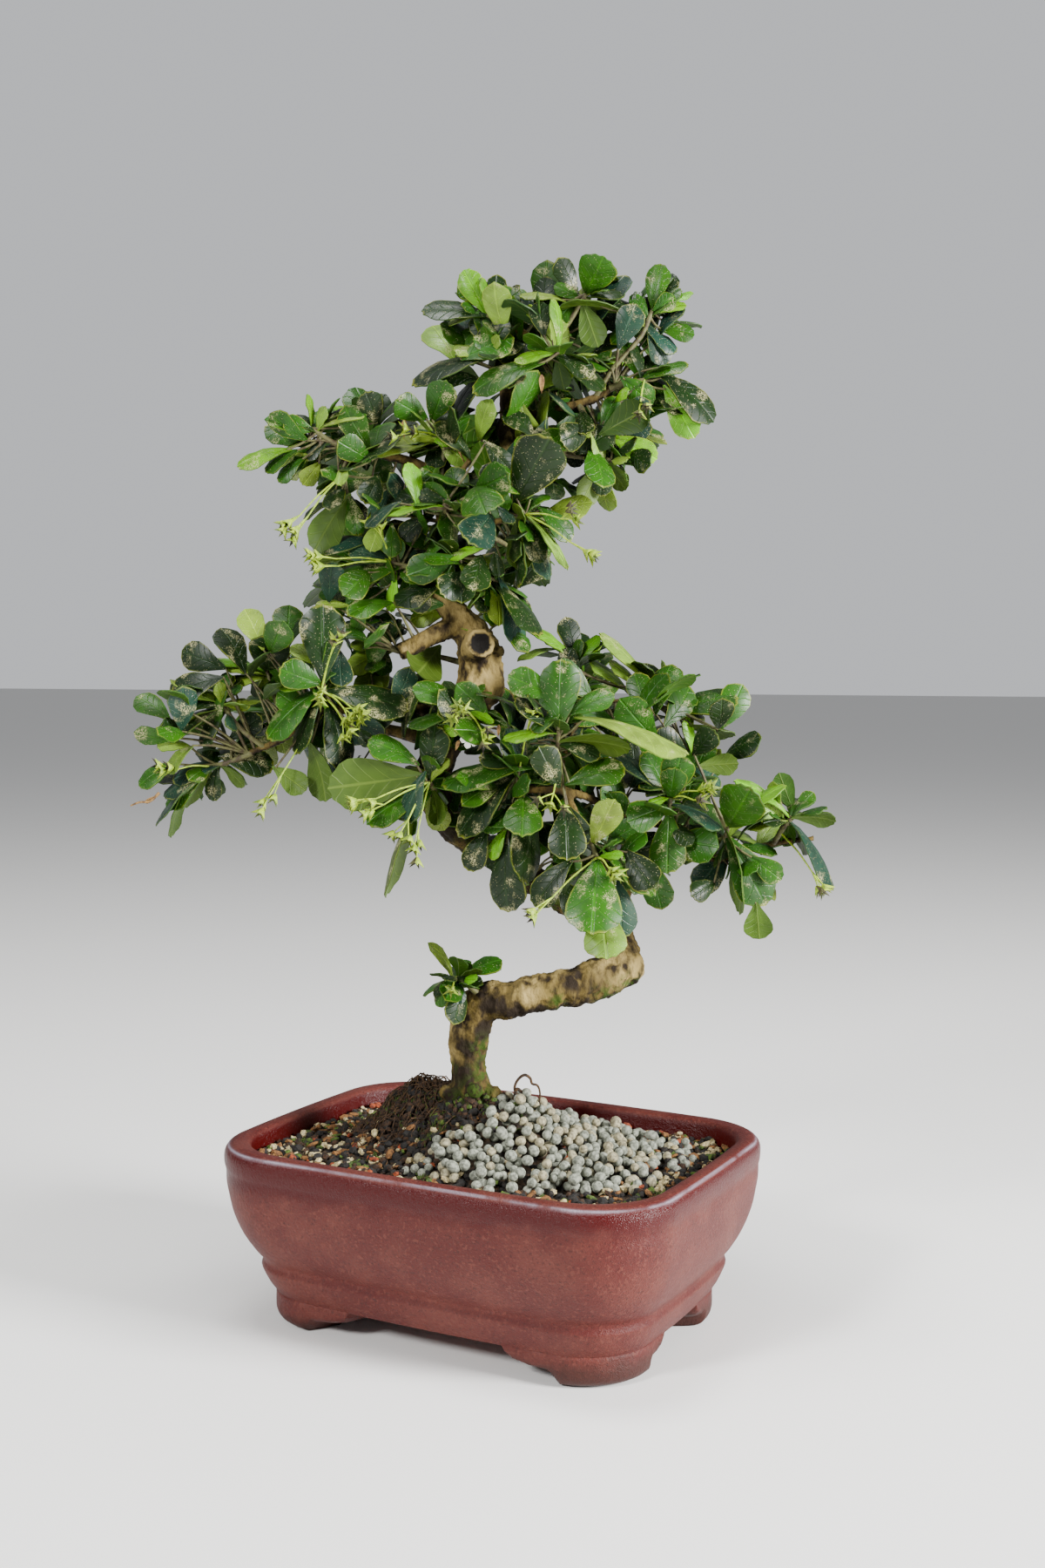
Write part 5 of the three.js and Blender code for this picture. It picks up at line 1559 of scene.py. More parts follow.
@dataclass(frozen=True)
class Spray:
    """A leafy stem.

    Its stem's rows are [px, py, toward, width], its leaves' [tip px, tip py, width, tone, and
    perhaps the px and py where the stalk ends], and its calyxes' [px, py]. The leaves of more are
    the slender ones that the CAD hasn't, and hidden counts those that the photo hides.
    """

    name: str
    stem: Row
    leaves: Row
    hidden: int
    more: Row = ()
    calyxes: Row = ()

    @property
    def depth(self) -> float:
        """Gives how far toward the eye its end stands."""
        return self.stem[-1][2]

    def path(self) -> list:
        """Gives the stem's stations as points."""
        return [SIGHT.seen(*row[:3]) for row in self.stem]

    def leaf_place(self, order: int) -> Vector:
        """Gives the place of a leaf's stalk, back along the stem's free part from its end.

        Args:
            order: The leaf's number.

        Returns:
            The point.
        """
        path = self.path()
        lengths = [(b - a).length for a, b in zip(path, path[1:])]
        left = order * min(1.1, 0.55 * sum(lengths) / max(1, len(self.leaves)))
        for i in range(len(path) - 1, 0, -1):
            if left <= lengths[i - 1]:
                return path[i].lerp(path[i - 1], left / lengths[i - 1])
            left -= lengths[i - 1]
        return path[0].lerp(path[1], 0.4)

    def read(self, row: Row, place: Vector, shift: float) -> Blade:
        """Turns a leaf read in the photo into a blade.

        Args:
            row: The leaf's row.
            place: Where its stalk starts.
            shift: Millimetres toward the eye.

        Returns:
            The blade.
        """
        px, py, width, tone, *stalk = row
        depth = self.depth + 0.35 * shift
        base = SIGHT.seen(*stalk, depth) if stalk else place
        flat = (SIGHT.seen(px, py, depth) - base).length
        wide = width * SIGHT.scale(depth)
        length = max(flat, wide / 0.62, 9)
        out = math.sqrt(max(0, length * length - flat * flat)) + 0.65 * shift
        tip = SIGHT.seen(px, py, depth + out)
        true_width = max(wide, 0.55 * length * (0.85 if tone == "Y" else 1))
        roll = math.acos(min(1, wide / true_width))
        along = (tip - base).normalized()
        eye = SIGHT.eye - base
        eye = (eye - along * eye.dot(along)).normalized()
        over = along.cross(eye)
        facing = -1 if tone == "U" else 1
        options = [(eye * math.cos(roll) + over * (s * math.sin(roll))) * facing for s in (1, -1)]
        normal = max(options, key=lambda option: option.z)
        return Blade(place if stalk else base, base, tip, normal, true_width, 0.07)

    def hidden_leaf(self, order: int, shift: float) -> Blade:
        """Gives a leaf that the photo hides, on a spiral round the stem's end.

        Args:
            order: Its number on the spiral.
            shift: Its turn in steps.

        Returns:
            The blade.
        """
        before, end = self.path()[-2:]
        if self.leaves:
            before = end - ((end - SIGHT.eye).normalized() * 8 + UP * 2)
        out = (end - before).normalized()
        across = out.cross(UP).normalized()
        over = across.cross(out)
        turn = order * GOLDEN_ANGLE + 0.6 + 0.02 * shift
        spread = 0.35 + 0.14 * order + 0.015 * shift
        along = out * math.cos(spread) + across * (math.sin(spread) * math.cos(turn))
        along += over * (math.sin(spread) * math.sin(turn))
        base = end.lerp(before, min(0.9, order * 0.085))
        length = 17 + 2.2 * (order % 5)
        normal = UP + out * 0.35
        normal = (normal - along * normal.dot(along)).normalized()
        return Blade(base, base, base + along * length, normal, 0.55 * length, 0.08)


SHIFTS = (0, 3, -3, 6, -6, 9, -9, 12, -12, 15, -15)
SPRAYS = (
    Spray("apex_left_tip", ((592, 378, 2, 7), (575, 370, 2, 6), (559, 362, 2, 5)), ((532, 309, 30,
      "Y"), (484, 354, 24, "D"), (586, 329, 26, "M"), (553, 394, 20, "D")), 1, more=((556, 318, 10,
      "Y"),)),
    Spray("apex_left_low", ((604, 398, 2, 7), (584, 406, 3, 6), (562, 410, 5, 5)), ((521, 397, 14,
      "P"), (545, 386, 14, "M"), (471, 438, 20, "D"), (577, 402, 16, "D", 605, 395)), 1, more=((571,
      385, 10, "P"),)),
    Spray("apex_front", ((608, 412, 3, 8), (628, 413, 9, 6), (641, 404, 14, 5)), ((541, 448, 26,
      "M", 625, 415), (618, 346, 26, "D", 625, 388), (683, 430, 22, "D"), (697, 445, 18, "D")), 1,
      more=((638, 342, 14, "Y"), (590, 413, 12, "Y"))),
    Spray("apex_top", ((630, 394, 2, 9), (652, 372, 4, 6), (672, 338, 6, 5)), ((692, 297, 45, "M"),
      (643, 348, 18, "U", 722, 360), (687, 399, 32, "U")), 1, more=((596, 336, 9, "P", 650, 345),
      (718, 336, 10, "D"), (637, 326, 16, "M"))),
    Spray("apex_right_tip", ((684, 457, 1, 8), (700, 428, 3, 6), (736, 386, 2, 6), (749, 357, 0,
      5)), ((758, 302, 28, "M"), (775, 340, 22, "M"), (798, 383, 20, "M", 755, 377), (713, 380, 18,
      "D"), (765, 420, 26, "B")), 1, more=((795, 333, 8, "Y"), (788, 348, 10, "Y"), (781, 330, 14,
      "M"), (726, 337, 16, "M"), (702, 342, 14, "D"), (727, 361, 14, "P"), (778, 403, 16, "B"))),
    Spray("apex_right_low", ((700, 446, 2, 9), (720, 440, 3, 7), (740, 436, 5, 5)), ((750, 464, 30,
      "M", 712, 432), (822, 482, 30, "D", 757, 428), (798, 503, 34, "Y", 762, 442), (708, 455, 22,
      "M", 690, 490)), 1, more=((720, 447, 10, "Y", 705, 462), (790, 415, 14, "M")), calyxes=((733,
      476),)),
    Spray("apex_right_under", ((636, 520, 2, 8), (665, 524, 2, 7), (702, 528, 3, 5)), ((755, 527,
      30, "Y", 700, 500), (665, 580, 28, "U"), (690, 570, 25, "D"), (720, 562, 22, "U")), 1,
      more=((718, 528, 9, "P"),)),
    Spray("apex_right_mid", ((664, 462, 1, 9), (672, 478, 3, 6), (677, 492, 5, 5)), ((646, 505, 34,
      "D"), (672, 498, 24, "D", 668, 470)), 1, more=((693, 534, 14, "P"),)),
    Spray("centre_right", ((574, 598, 11, 8), (588, 595, 13, 6), (603, 590, 17, 5)), ((632, 503, 62,
      "D", 590, 578), (658, 619, 24, "M", 618, 582), (625, 645, 26, "D", 595, 603), (632, 665, 22,
      "B"), (602, 655, 34, "U")), 1, more=((656, 651, 8, "P"), (595, 675, 10, "D"), (590, 600, 12,
      "B", 570, 580)), calyxes=((675, 635), (663, 598))),
    Spray("upper_left_tip", ((404, 516, 0, 9), (384, 509, 0, 7), (358, 492, 0, 5)), ((420, 450, 30,
      "D", 435, 488), (325, 485, 24, "M"), (271, 533, 18, "Y", 335, 515), (348, 556, 22, "P", 368,
      530)), 1, more=((355, 452, 8, "Y"), (428, 463, 14, "P"), (372, 466, 12, "P"), (338, 476, 14,
      "D"), (303, 540, 14, "M", 345, 515), (318, 552, 16, "M", 350, 525), (350, 527, 14, "D"))),
    Spray("upper_left_mid", ((406, 515, 0, 8), (398, 530, 2, 6), (390, 548, 4, 5)), ((418, 512, 18,
      "B", 385, 524), (420, 577, 30, "D", 435, 545), (360, 632, 40, "U", 402, 566), (412, 615, 24,
      "M", 400, 568)), 1, more=((436, 508, 10, "U"), (458, 498, 10, "D"), (403, 530, 10, "D", 440,
      522), (371, 582, 14, "B", 395, 560), (390, 555, 14, "P")), calyxes=((325, 610), (338, 612))),
    Spray("upper_back", ((506, 552, -1, 8), (509, 530, 0, 6), (511, 505, 0, 5)), ((455, 460, 32,
      "M", 492, 482), (512, 438, 35, "M", 495, 485), (545, 432, 20, "D"), (493, 478, 28, "D", 545,
      470)), 1, more=((420, 518, 10, "P", 500, 515), (470, 498, 10, "P"), (500, 505, 9, "Y", 525,
      512), (533, 498, 12, "B", 575, 450), (533, 520, 16, "Y", 572, 488)), calyxes=((464, 492),)),
    Spray("centre", ((514, 604, 2, 10), (513, 594, 9, 7), (510, 580, 16, 5)), ((588, 542, 26, "D",
      555, 505), (583, 545, 40, "M", 545, 563), (470, 530, 20, "Y", 480, 584), (479, 567, 18, "D",
      512, 574), (556, 586, 50, "M", 545, 558), (540, 622, 46, "B", 565, 590)), 1, more=((440, 590,
      9, "Y"), (418, 605, 14, "B", 460, 575))),
    Spray("mid_left", ((500, 662, 2, 9), (478, 653, 3, 6), (449, 645, 4, 5)), ((364, 645, 18, "U",
      396, 640), (400, 630, 24, "B"), (425, 632, 24, "P", 437, 598), (450, 640, 22, "M", 450, 600),
      (460, 620, 26, "D", 490, 590), (384, 665, 30, "M"), (395, 682, 36, "M", 425, 655), (408, 728,
      18, "M", 418, 690), (485, 705, 26, "D", 478, 662)), 1, more=((362, 692, 10, "P", 405, 697),
      (448, 703, 15, "Y", 455, 656)), calyxes=((362, 652), (359, 640), (432, 600))),
    Spray("mid_centre", ((505, 648, 1, 9), (516, 642, 7, 6), (528, 638, 13, 5)), ((466, 660, 36,
      "M"), (543, 678, 36, "D", 553, 636), (508, 680, 34, "D", 538, 658), (572, 662, 18, "D", 568,
      632)), 0, more=((513, 640, 10, "Y", 560, 628),)),
    Spray("mid_right", ((512, 676, 1, 10), (540, 668, 5, 7), (566, 664, 8, 5)), ((597, 745, 26, "B",
      572, 660), (622, 728, 20, "D"), (570, 720, 20, "M"), (612, 700, 24, "D")), 1, more=((560, 702,
      14, "D", 540, 680),)),
    Spray("lower_left_tip", ((290, 864, 2, 8), (266, 874, 1, 7), (243, 880, 0, 5)), ((190, 928, 20,
      "M"), (208, 927, 18, "U"), (243, 920, 20, "D"), (186, 912, 18, "B"), (197, 895, 22, "B"),
      (158, 901, 20, "M", 205, 875), (315, 880, 32, "D", 250, 868), (300, 822, 28, "D", 262, 850)),
      1, more=((176, 946, 8, "B"), (192, 960, 10, "U", 222, 895), (180, 853, 14, "P", 222, 858),
      (282, 902, 14, "U")), calyxes=((185, 885),)),
    Spray("lower_left_up", ((304, 858, 3, 7), (280, 840, 4, 6), (252, 806, 2, 5)), ((207, 788, 18,
      "P"), (205, 806, 20, "D"), (190, 845, 20, "D"), (228, 855, 18, "D")), 1, more=((278, 786, 9,
      "M"), (288, 808, 14, "P"), (251, 783, 14, "P"), (207, 832, 12, "U"), (268, 838, 12, "B"))),
    Spray("lower_left_back", ((328, 845, 3, 7), (318, 810, -1, 5), (307, 772, -6, 4)), ((311, 731,
      48, "D"), (257, 761, 14, "P"), (265, 782, 14, "P"), (295, 788, 12, "U")), 1, more=((241, 754,
      10, "Y"),)),
    Spray("lower_left_mid", ((374, 816, 8, 7), (373, 800, 12, 6), (371, 784, 15, 5)), ((370, 693,
      54, "D"), (322, 768, 36, "M"), (305, 847, 30, "M"), (338, 866, 22, "D"), (470, 815, 36, "D"),
      (427, 855, 18, "D", 405, 835), (395, 885, 34, "D"), (376, 920, 30, "U", 355, 850), (352, 908,
      30, "U", 313, 880)), 1, more=((320, 788, 14, "Y"), (328, 772, 14, "D")), calyxes=((368, 806),
      (405, 822), (417, 820), (403, 840), (301, 922), (385, 733))),
    Spray("left_behind", ((536, 762, -2, 9), (500, 753, -6, 6), (470, 748, -6, 5), (440, 745, -4,
      4)), ((448, 715, 24, "D"), (438, 775, 22, "M"), (420, 800, 34, "U", 430, 757), (397, 770, 24,
      "P"), (478, 775, 50, "U", 505, 742)), 1, more=((402, 738, 14, "P"),)),
    Spray("front_left", ((506, 918, 4, 10), (500, 909, 12, 8), (493, 898, 20, 6)), ((377, 905, 62,
      "U", 487, 890), (423, 848, 30, "M", 482, 878), (500, 832, 36, "D"), (465, 945, 26, "B", 488,
      885), (420, 945, 30, "M"), (505, 948, 20, "U")), 0, more=((515, 870, 12, "P"), (441, 1030, 12,
      "U")), calyxes=((405, 925), (418, 935), (458, 960), (475, 975))),
    Spray("front_left_high", ((522, 836, 4, 9), (530, 826, 12, 6), (536, 816, 20, 5)), ((475, 785,
      26, "M"), (509, 842, 20, "Y", 545, 822)), 1, more=((568, 828, 10, "Y"), (468, 833, 12, "M")),
      calyxes=((535, 812), (520, 825), (560, 848))),
    Spray("front_centre_left", ((588, 907, 15, 8), (592, 894, 19, 6), (597, 880, 23, 5)), ((506,
      900, 26, "M", 612, 880), (550, 868, 20, "D"), (525, 960, 34, "D"), (537, 1000, 30, "D", 560,
      950), (560, 930, 28, "M"), (600, 958, 46, "M", 602, 912), (582, 1048, 42, "D", 582, 962),
      (610, 1015, 34, "D")), 1, more=((563, 987, 16, "Y", 582, 950),), calyxes=((610, 818),)),
    Spray("front_centre", ((645, 886, 22, 7), (641, 862, 27, 6), (641, 838, 31, 5)), ((583, 775, 36,
      "M", 640, 800), (645, 757, 48, "M"), (592, 800, 24, "D"), (705, 795, 24, "M", 650, 822), (792,
      864, 18, "P", 660, 822), (725, 858, 24, "U"), (690, 868, 20, "D"), (620, 858, 36, "D", 643,
      905), (718, 880, 34, "M", 648, 900), (652, 987, 45, "D", 650, 922), (672, 972, 30, "D", 650,
      922)), 0, more=((608, 838, 16, "M", 650, 815), (577, 848, 14, "Y")), calyxes=((632, 925),)),
    Spray("front_low", ((664, 940, 26, 8), (676, 962, 29, 7), (686, 984, 32, 5)), ((680, 1072, 66,
      "M"), (612, 1040, 36, "D", 658, 985), (715, 1078, 40, "B", 708, 1005), (697, 1100, 50, "P",
      690, 1035), (705, 920, 36, "P"), (750, 1020, 40, "D", 718, 975), (755, 1026, 20, "M")), 1,
      more=((715, 980, 10, "Y"),), calyxes=((703, 1000), (612, 1050))),
    Spray("top_back_right", ((686, 812, 10, 6), (672, 788, 2, 5), (660, 760, -4, 4)), ((610, 717,
      12, "Y"), (688, 729, 14, "Y"), (664, 733, 14, "M"), (678, 757, 14, "P", 722, 795), (700, 758,
      12, "P", 738, 795), (645, 745, 24, "D")), 1, more=((693, 737, 9, "Y"),)),
    Spray("right_up", ((730, 803, 3, 6), (750, 803, 0, 6), (770, 800, -2, 5)), ((848, 800, 30, "M",
      765, 818), (752, 842, 32, "D", 790, 866)), 1, more=((845, 843, 9, "U", 780, 833), (690, 725,
      14, "P", 748, 792), (778, 770, 16, "Y"), (740, 778, 13, "P"), (790, 822, 14, "Y", 795, 870))),
    Spray("right_mid", ((766, 950, 13, 7), (768, 936, 17, 6), (770, 915, 20, 5)), ((782, 868, 40,
      "M"), (775, 883, 32, "M"), (740, 862, 24, "M"), (722, 942, 38, "M"), (766, 1003, 44, "M")), 1,
      more=((745, 922, 9, "Y"), (705, 862, 14, "B"), (830, 950, 14, "B")), calyxes=((815, 905),
      (808, 920))),
    Spray("right_end", ((822, 986, 6, 8), (830, 970, 10, 7), (836, 950, 14, 5)), ((860, 908, 56,
      "M"), (820, 839, 30, "D", 795, 868), (848, 876, 26, "U", 800, 880), (880, 1040, 50, "M"),
      (898, 1010, 28, "M", 860, 982), (893, 1030, 20, "P"), (872, 1079, 34, "U", 868, 1035), (795,
      1028, 26, "D", 822, 1012)), 1, more=((902, 900, 12, "Y"), (852, 1050, 16, "U"))),
    Spray("right_tip", ((888, 968, 3, 7), (900, 950, 7, 6), (908, 938, 10, 5)), ((960, 940, 18,
      "U"), (961, 1020, 12, "B")), 1, more=((845, 893, 10, "Y"), (858, 950, 10, "P"), (878, 943, 10,
      "D"), (880, 925, 10, "M")), calyxes=((948, 1020),)),
    Spray("basal_sprout", ((548, 1140, 6, 8), (536, 1130, 9, 6), (524, 1122, 11, 5)), ((497, 1143,
      12, "D"), (527, 1153, 17, "B")), 0, more=((512, 1124, 9, "D"), (552, 1111, 9, "U"), (546,
      1123, 10, "Y")), calyxes=((518, 1137),)),
    Spray("back_apex", ((622, 425, -19, 7), (640, 425, -26, 6), (656, 424, -32, 5)), (), 6),
    Spray("back_upper_right", ((660, 492, -24, 7), (680, 488, -30, 6), (698, 486, -36, 5)), (), 6),
    Spray("back_upper_left", ((455, 524, -23, 7), (440, 515, -28, 6), (424, 508, -34, 5)), (), 6),
    Spray("back_mid_left", ((448, 655, -23, 7), (432, 655, -28, 6), (416, 652, -34, 5)), (), 6),
    Spray("back_centre", ((566, 618, -21, 7), (575, 622, -26, 6), (585, 628, -33, 5)), (), 6),
    Spray("back_lower_left", ((370, 828, -23, 7), (345, 825, -28, 6), (325, 822, -33, 5)), (), 6),
    Spray("back_lower_centre", ((590, 905, -25, 7), (605, 900, -30, 6), (618, 894, -37, 5)), (), 6),
    Spray("back_lower_right", ((765, 948, -23, 7), (778, 930, -26, 6), (792, 914, -31, 5)), (), 6),
    Spray("back_low", ((679, 1006, -30, 7), (682, 1000, -34, 6), (690, 992, -40, 5)), (), 6),
    Spray("back_mid", ((627, 800, -29, 7), (640, 800, -34, 6), (654, 796, -40, 5)), (), 6),
)


@dataclass
class Foliage(Part):
    """All the sprays, each in place of its CAD node."""

    nodes: dict
    fine: LeafShape = field(default_factory=lambda: LeafShape(8, 6))
    small: LeafShape = field(default_factory=lambda: LeafShape(4, 4))
    fillers: int = 13
    back_fillers: int = 22
    near: float = 2.2

    def cad_tree(self, name: str) -> BVHTree:
        """Makes a search tree of a CAD node in the pot's frame.

        Args:
            name: The node.

        Returns:
            The tree.
        """
        mesh = self.nodes[name].data
        points = [(vertex.co - self.origin) / MM for vertex in mesh.vertices]
        return BVHTree.FromPolygons(points, [tuple(face.vertices) for face in mesh.polygons])

    def settle(self, tree: BVHTree, tries: Iterable[Blade]) -> tuple:
        """Finds which try of a leaf the CAD node holds.

        Args:
            tree: The node's search tree.
            tries: The leaf at each shift.

        Returns:
            The nearest try and its mean distance in millimetres.
        """
        best = None
        for blade in tries:
            apart = sum(tree.find_nearest(point)[3] for point in blade.samples()) / 4
            if best is None or apart < best[1]:
                best = (blade, apart)
        return best

    def build(self, spray: Spray, number: int) -> None:
        """Builds one spray.

        Args:
            spray: Its rows.
            number: Its number, for its draws.
        """
        rng = random.Random(100 + number)
        piece = self.piece(f"leaves_{spray.name}", Finish.LEAF_UPPER, Finish.LEAF_UNDER,
                           Finish.TWIG, Finish.CALYX)
        radii = [row[3] / 2 * SIGHT.scale(row[2]) for row in spray.stem]
        stems = [smooth_path(spray.path(), radii, 3)]
        blades = self.blades(spray)
        for blade, tone in blades:
            self.fine.lay(piece, blade, Tone[tone].drawn(rng), rng)
            if (blade.base - blade.root).length > 1.5:
                inner = blade.base.lerp(blade.tip, 0.08)
                middle = blade.root.lerp(inner, 0.5) - UP * 0.6
                stems.append(smooth_path([blade.root, middle, inner], [0.5, 0.42, 0.36], 3))
        self.fill(piece, spray, blades, stems, rng)
        shoots = []
        for px, py in spray.calyxes:
            middle = SIGHT.seen(px, py, spray.depth + 9)
            root = min(stems[0][0], key=lambda point: (point - middle).length)
            fork = root.lerp(middle, 0.7)
            bend = root.lerp(fork, 0.55) + UP * 0.8
            shoots.append(smooth_path([root, bend, fork], [0.36, 0.3, 0.26], 3))
            for k in range(3):
                at = middle + drift(rng, 1.8) * min(k, 1)
                bend = fork.lerp(at, 0.55) + UP * 0.2
                shoots.append(smooth_path([fork, bend, at], [0.24, 0.22, 0.2], 2))
                self.calyx(piece, at, (at - root).normalized())
        piece.take(tubes(stems, 1), 2)
        if shoots:
            piece.take(tubes(shoots, 1), 3)
        piece.finish("leaf", f"spray_{spray.name}")

    def blades(self, spray: Spray) -> list:
        """Places a spray's leaves, each where the CAD node holds it.

        Args:
            spray: Its rows.

        Returns:
            Each blade with its tone's name.
        """
        tree = self.cad_tree(f"spray_{spray.name}")
        blades = []
        for order, row in enumerate(spray.leaves):
            place = spray.leaf_place(order)
            tries = [spray.read(row, place, shift) for shift in SHIFTS]
            blade, apart = self.settle(tree, tries)
            blades.append((blade if apart < self.near else tries[0], row[3]))
        for order in range(spray.hidden):
            blade, apart = self.settle(tree, [spray.hidden_leaf(order, shift) for shift in SHIFTS])
            if apart < self.near:
                blades.append((blade, "M"))
        for order, row in enumerate(spray.more):
            blades.append((spray.read(row, spray.leaf_place(order), 0), row[3]))
        return blades

    def fill(self, piece: Piece, spray: Spray, blades: list, stems: list,
             rng: random.Random) -> None:
        """Adds the small inner leaves that close a pad's gaps.

        Args:
            piece: The spray's piece.
            spray: The spray.
            blades: Its leaves.
            stems: Its stalks, which grow by the new ones.
            rng: The draw.
        """
        if not blades:
            return
        front = bool(spray.leaves)
        reach = spray.path()[-1]
        away = (reach - SIGHT.eye).normalized()
        for _ in range(self.fillers if front else self.back_fillers):
            host = rng.choice(blades)[0]
            base = host.root.lerp(host.tip, rng.uniform(0.0, 0.45))
            base = base.lerp(reach, rng.uniform(0, 0.5))
            along = drift(rng, 1) + UP * 0.25
            along += (host.tip - host.base).normalized() * 0.9
            if front:
                along += away * 0.5
                base = base + away * rng.uniform(1.5, 5)
            length = rng.uniform(9, 15) if front else rng.uniform(13, 19)
            tip = base + along.normalized() * length
            normal = UP + drift(rng, 0.35) - away * 0.35
            width = length * rng.uniform(0.5, 0.62)
            tone = Tone[rng.choice("DDMMMP" if front else "DMMMUY")]
            blade = Blade(base, base, tip, normal.normalized(), width, 0.08)
            self.small.lay(piece, blade, tone.drawn(rng), rng)
            near = min(stems[0][0], key=lambda point: (point - base).length)
            bend = near.lerp(base, 0.5) - UP * 0.5
            stems.append(smooth_path([near, bend, base], [0.4, 0.34, 0.3], 2))

    def calyx(self, piece: Piece, at: Vector, out: Vector) -> None:
        """Adds a five-pointed flower cup.

        Args:
            piece: The spray's piece.
            at: The cup's middle.
            out: Where it opens.
        """
        turn = out.to_track_quat("Z", "Y")
        made = bmesh.ops.create_cone(piece.bm, cap_ends=True, segments=10, radius1=0.5,
                                     radius2=2.8, depth=3.2,
                                     matrix=Matrix.LocRotScale(at, turn, None))["verts"]
        wide = [vertex for vertex in made if (vertex.co - at).dot(out) > 0]
        centre = at + out * 1.6
        wide.sort(key=lambda vertex: (turn.inverted() @ (vertex.co - centre)).to_2d().angle_signed(
            Vector((1, 0)), 0))
        for vertex in wide[1::2]:
            vertex.co = centre.lerp(vertex.co, 0.3) - out * 1.3
        paint_faces(made, 3)


@dataclass
class Canopy(Part):
    """The small shaded leaves inside the crown, which close it where the photo shows no gaps.

    Each of its pads is [px, py, half width, half height, toward, leaves].
    """

    leaf: LeafShape
    pads: Row = (
        (640, 400, 85, 45, 3, 30), (610, 455, 55, 42, 6, 18), (565, 420, 48, 30, 4, 9),
        (735, 400, 35, 42, 1, 9), (690, 490, 75, 36, 4, 20), (620, 530, 50, 36, 8, 15),
        (545, 545, 55, 42, 5, 16), (450, 540, 75, 30, 3, 18), (375, 520, 40, 22, 2, 7),
        (560, 610, 65, 40, 9, 20), (485, 610, 60, 38, 6, 14), (470, 690, 62, 38, 5, 16),
        (555, 680, 50, 40, 7, 14), (400, 720, 35, 40, 6, 8), (305, 775, 75, 30, 8, 17),
        (235, 835, 45, 28, 5, 9), (400, 800, 60, 34, 9, 14), (450, 865, 50, 34, 10, 9),
        (600, 850, 72, 40, 16, 22), (700, 830, 75, 32, 12, 20), (790, 855, 55, 30, 8, 12),
        (650, 920, 92, 36, 20, 24), (560, 930, 50, 36, 15, 11), (640, 985, 72, 36, 14, 17),
        (740, 960, 60, 38, 14, 15), (850, 965, 45, 24, 6, 8),
    )
    longest_stalk: float = 30

    def build(self, wood: Sequence[tuple]) -> None:
        """Builds the leaves and their stalks.

        Args:
            wood: The paths of the wood.
        """
        rng = random.Random(31)
        piece = self.piece("leaves_inner", Finish.LEAF_UPPER, Finish.LEAF_UNDER, Finish.TWIG)
        tree = search_tree([point for path, _ in wood for point in path])
        stalks = []
        for px, py, across, up, toward, count in self.pads:
            middle = SIGHT.seen(px, py, toward)
            for _ in range(count):
                turn, reach = rng.uniform(0, math.tau), math.sqrt(rng.random())
                x, y = px + across * reach * math.cos(turn), py + up * reach * math.sin(turn)
                base = SIGHT.seen(x, y, toward + rng.uniform(-12, 3))
                eye = (SIGHT.eye - base).normalized()
                along = (base - middle).normalized() * 0.8 + UP * 0.35
                along += drift(rng, 0.6)
                length = rng.uniform(12, 20)
                tip = base + along.normalized() * length
                normal = eye * 0.8 + UP * 0.6 + drift(rng, 0.4)
                width = length * rng.uniform(0.52, 0.66)
                tone = Tone[rng.choice("DDDMMMMMMBBP")]
                blade = Blade(base, base, tip, normal.normalized(), width, 0.08)
                self.leaf.lay(piece, blade, tone.drawn(rng), rng)
                root = tree.find(base)[0]
                if (root - base).length < self.longest_stalk:
                    bend = root.lerp(base, 0.6) + UP
                    stalks.append(smooth_path([root, bend, base], [0.55, 0.4, 0.32], 2))
        piece.take(tubes(stalks, 0), 2)
        piece.finish("leaf")


@dataclass
class Trifles(Part):
    """The open flower and the withered bits that hang in the tree.

    Each place is [px, py, toward]. A bit has its start, its end and its width.
    """

    leaf: LeafShape
    flower: Row = (539, 849, 24)
    flower_stalk: Row = (536, 842, 18)
    petals: int = 5
    bits: Row = (
        ((622, 452, 16), (622, 430, 18), 6), ((464, 503, 6), (464, 482, 7), 6),
        ((572, 846, 26), (573, 832, 27), 4), ((523, 862, 22), (527, 850, 23), 4),
        ((183, 912, 4), (166, 922, 4), 5)
    )
    wisps: Row = (
        ((517, 493, 6), (521, 508, 9), (528, 520, 9), (533, 530, 7)),
        ((183, 910, 4), (172, 920, 5), (160, 921, 5), (150, 925, 4)),
        ((930, 970, 4), (938, 988, 7), (944, 1004, 8), (948, 1020, 8))
    )

    def build(self) -> None:
        """Builds the flower and the dried bits."""
        rng, plain = random.Random(5), (1, 1, 1, 1)
        flower = self.piece("white_flower", Finish.PETAL, Finish.PETAL, Finish.CALYX)
        middle = SIGHT.seen(*self.flower)
        out = (SIGHT.eye - middle).normalized()
        side = out.cross(UP).normalized()
        over = side.cross(out)
        for k in range(self.petals):
            turn = k * math.tau / self.petals
            ray = side * math.cos(turn) + over * math.sin(turn) + out * 0.25
            blade = Blade(middle, middle, middle + ray.normalized() * 2.9, out, 2.2, 0.05)
            self.leaf.lay(flower, blade, plain, rng, 0.2)
        stalk = [SIGHT.seen(*self.flower_stalk), middle - out * 1.2, middle]
        flower.take(tubes([smooth_path(stalk, [0.4, 0.5, 0.7], 3)], 1), 2)
        flower.finish("leaf")
        dried = self.piece("withered_bits", Finish.DRIED, Finish.DRIED)
        for start, end, width in self.bits:
            base, tip = SIGHT.seen(*start), SIGHT.seen(*end)
            blade = Blade(base, base, tip, (SIGHT.eye - base).normalized(), width * 0.3, 0.15)
            self.leaf.lay(dried, blade, plain, rng, 0.25)
        dried.take(tubes([smooth_path([SIGHT.seen(*row) for row in rows], [0.5, 0.4, 0.35, 0.25], 3)
                          for rows in self.wisps], 0))
        dried.finish("leaf")


# The setting


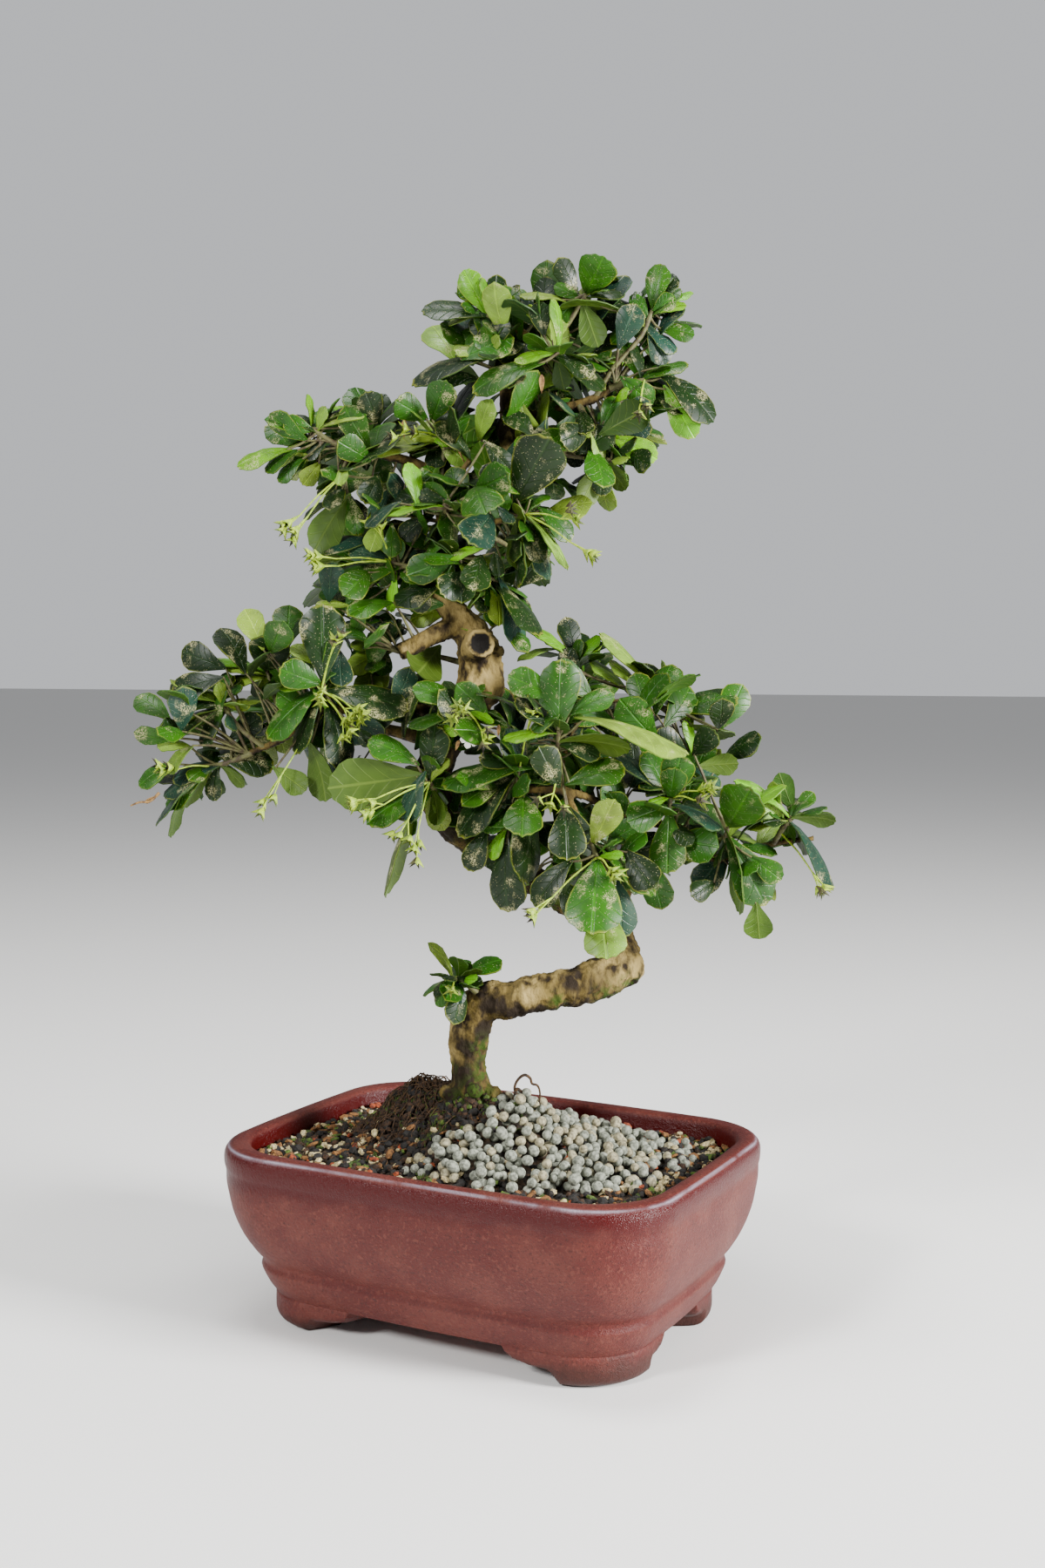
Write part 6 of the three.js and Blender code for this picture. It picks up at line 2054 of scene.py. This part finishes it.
@dataclass(frozen=True)
class Setting:
    """A pale floor, soft light and the photo's camera.

    A lamp is its name, its place and its size in metres, and its power in watts.
    """

    floor_color: str = "f0efec"
    floor_half: float = 12
    floor_level: float = -0.0003
    sky_color: str = "e4e6ea"
    sky: float = 0.45
    backdrop: float = 0.8
    aim: float = 0.17
    lamps: Row = (("key", (1.15, 0.0, 0.48), 0.35, 50), ("fill", (-0.3, -1.15, 0.8), 0.25, 20),
                  ("top", (-0.1, -0.1, 1.3), 0.4, 12))
    film: float = 36
    clip: Row = (0.05, 40)

    def build(self, origin: Vector) -> None:
        """Builds the floor, the sky, the lamps and the camera.

        Args:
            origin: The pot's centre in the row frame.
        """
        bm = bmesh.new()
        bmesh.ops.create_grid(bm, x_segments=1, y_segments=1, size=self.floor_half)
        floor = placed(bm, "floor")
        floor.data.materials.append(Paint("matte_floor").close(linear(self.floor_color), 0.6))
        floor.location.z = self.floor_level
        world = bpy.data.worlds.new("studio")
        bpy.context.scene.world = world
        world.use_nodes = True
        nodes = Nodes(world.node_tree)
        back = nodes.tree.nodes["Background"].inputs
        nodes.put(back["Color"], linear(self.sky_color))
        seen = nodes.add(Node.CAMERA_RAY)
        glow = nodes.add(Node.MULTIPLY_ADD, seen, self.backdrop - self.sky, self.sky)
        nodes.put(back["Strength"], glow)
        middle = origin + Vector((0, 0, self.aim))
        for name, place, size, power in self.lamps:
            lamp = bpy.data.lights.new(name, "AREA")
            lamp.size, lamp.energy = size, power
            light = bpy.data.objects.new(name, lamp)
            light.location = Vector(place)
            light.rotation_euler = (middle - light.location).to_track_quat("-Z", "Y").to_euler()
            bpy.context.scene.collection.objects.link(light)
        self.camera(origin)

    def camera(self, origin: Vector) -> None:
        """Builds the photo's camera.

        Args:
            origin: The pot's centre in the row frame.
        """
        data = bpy.data.cameras.new("photo_camera")
        data.sensor_width = self.film
        data.lens = SIGHT.focal / SIGHT.height * self.film
        data.clip_start, data.clip_end = self.clip
        camera = bpy.data.objects.new("photo_camera", data)
        camera.location = SIGHT.eye * MM + origin
        ahead = SIGHT.turned(0, math.cos(SIGHT.pitch), -math.sin(SIGHT.pitch))
        camera.rotation_mode = "QUATERNION"
        camera.rotation_quaternion = ahead.to_track_quat("-Z", "Y")
        bpy.context.scene.collection.objects.link(camera)
        bpy.context.scene.camera = camera


def main() -> None:
    """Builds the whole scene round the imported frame."""
    logging.basicConfig(level=logging.INFO)
    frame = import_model()
    origin = pot_origin()
    palette = Palette()
    pot = Pot(palette, origin)
    pot.build()
    Ground(palette, origin, pot.size).build()
    wood = Wood(palette, origin).build()
    foliage = Foliage(palette, origin, frame["nodes"])
    for number, spray in enumerate(SPRAYS):
        foliage.build(spray, number)
    Canopy(palette, origin, foliage.small).build(wood)
    Trifles(palette, origin, foliage.small).build()
    Setting().build(origin)


if __name__ == "__main__":
    main()
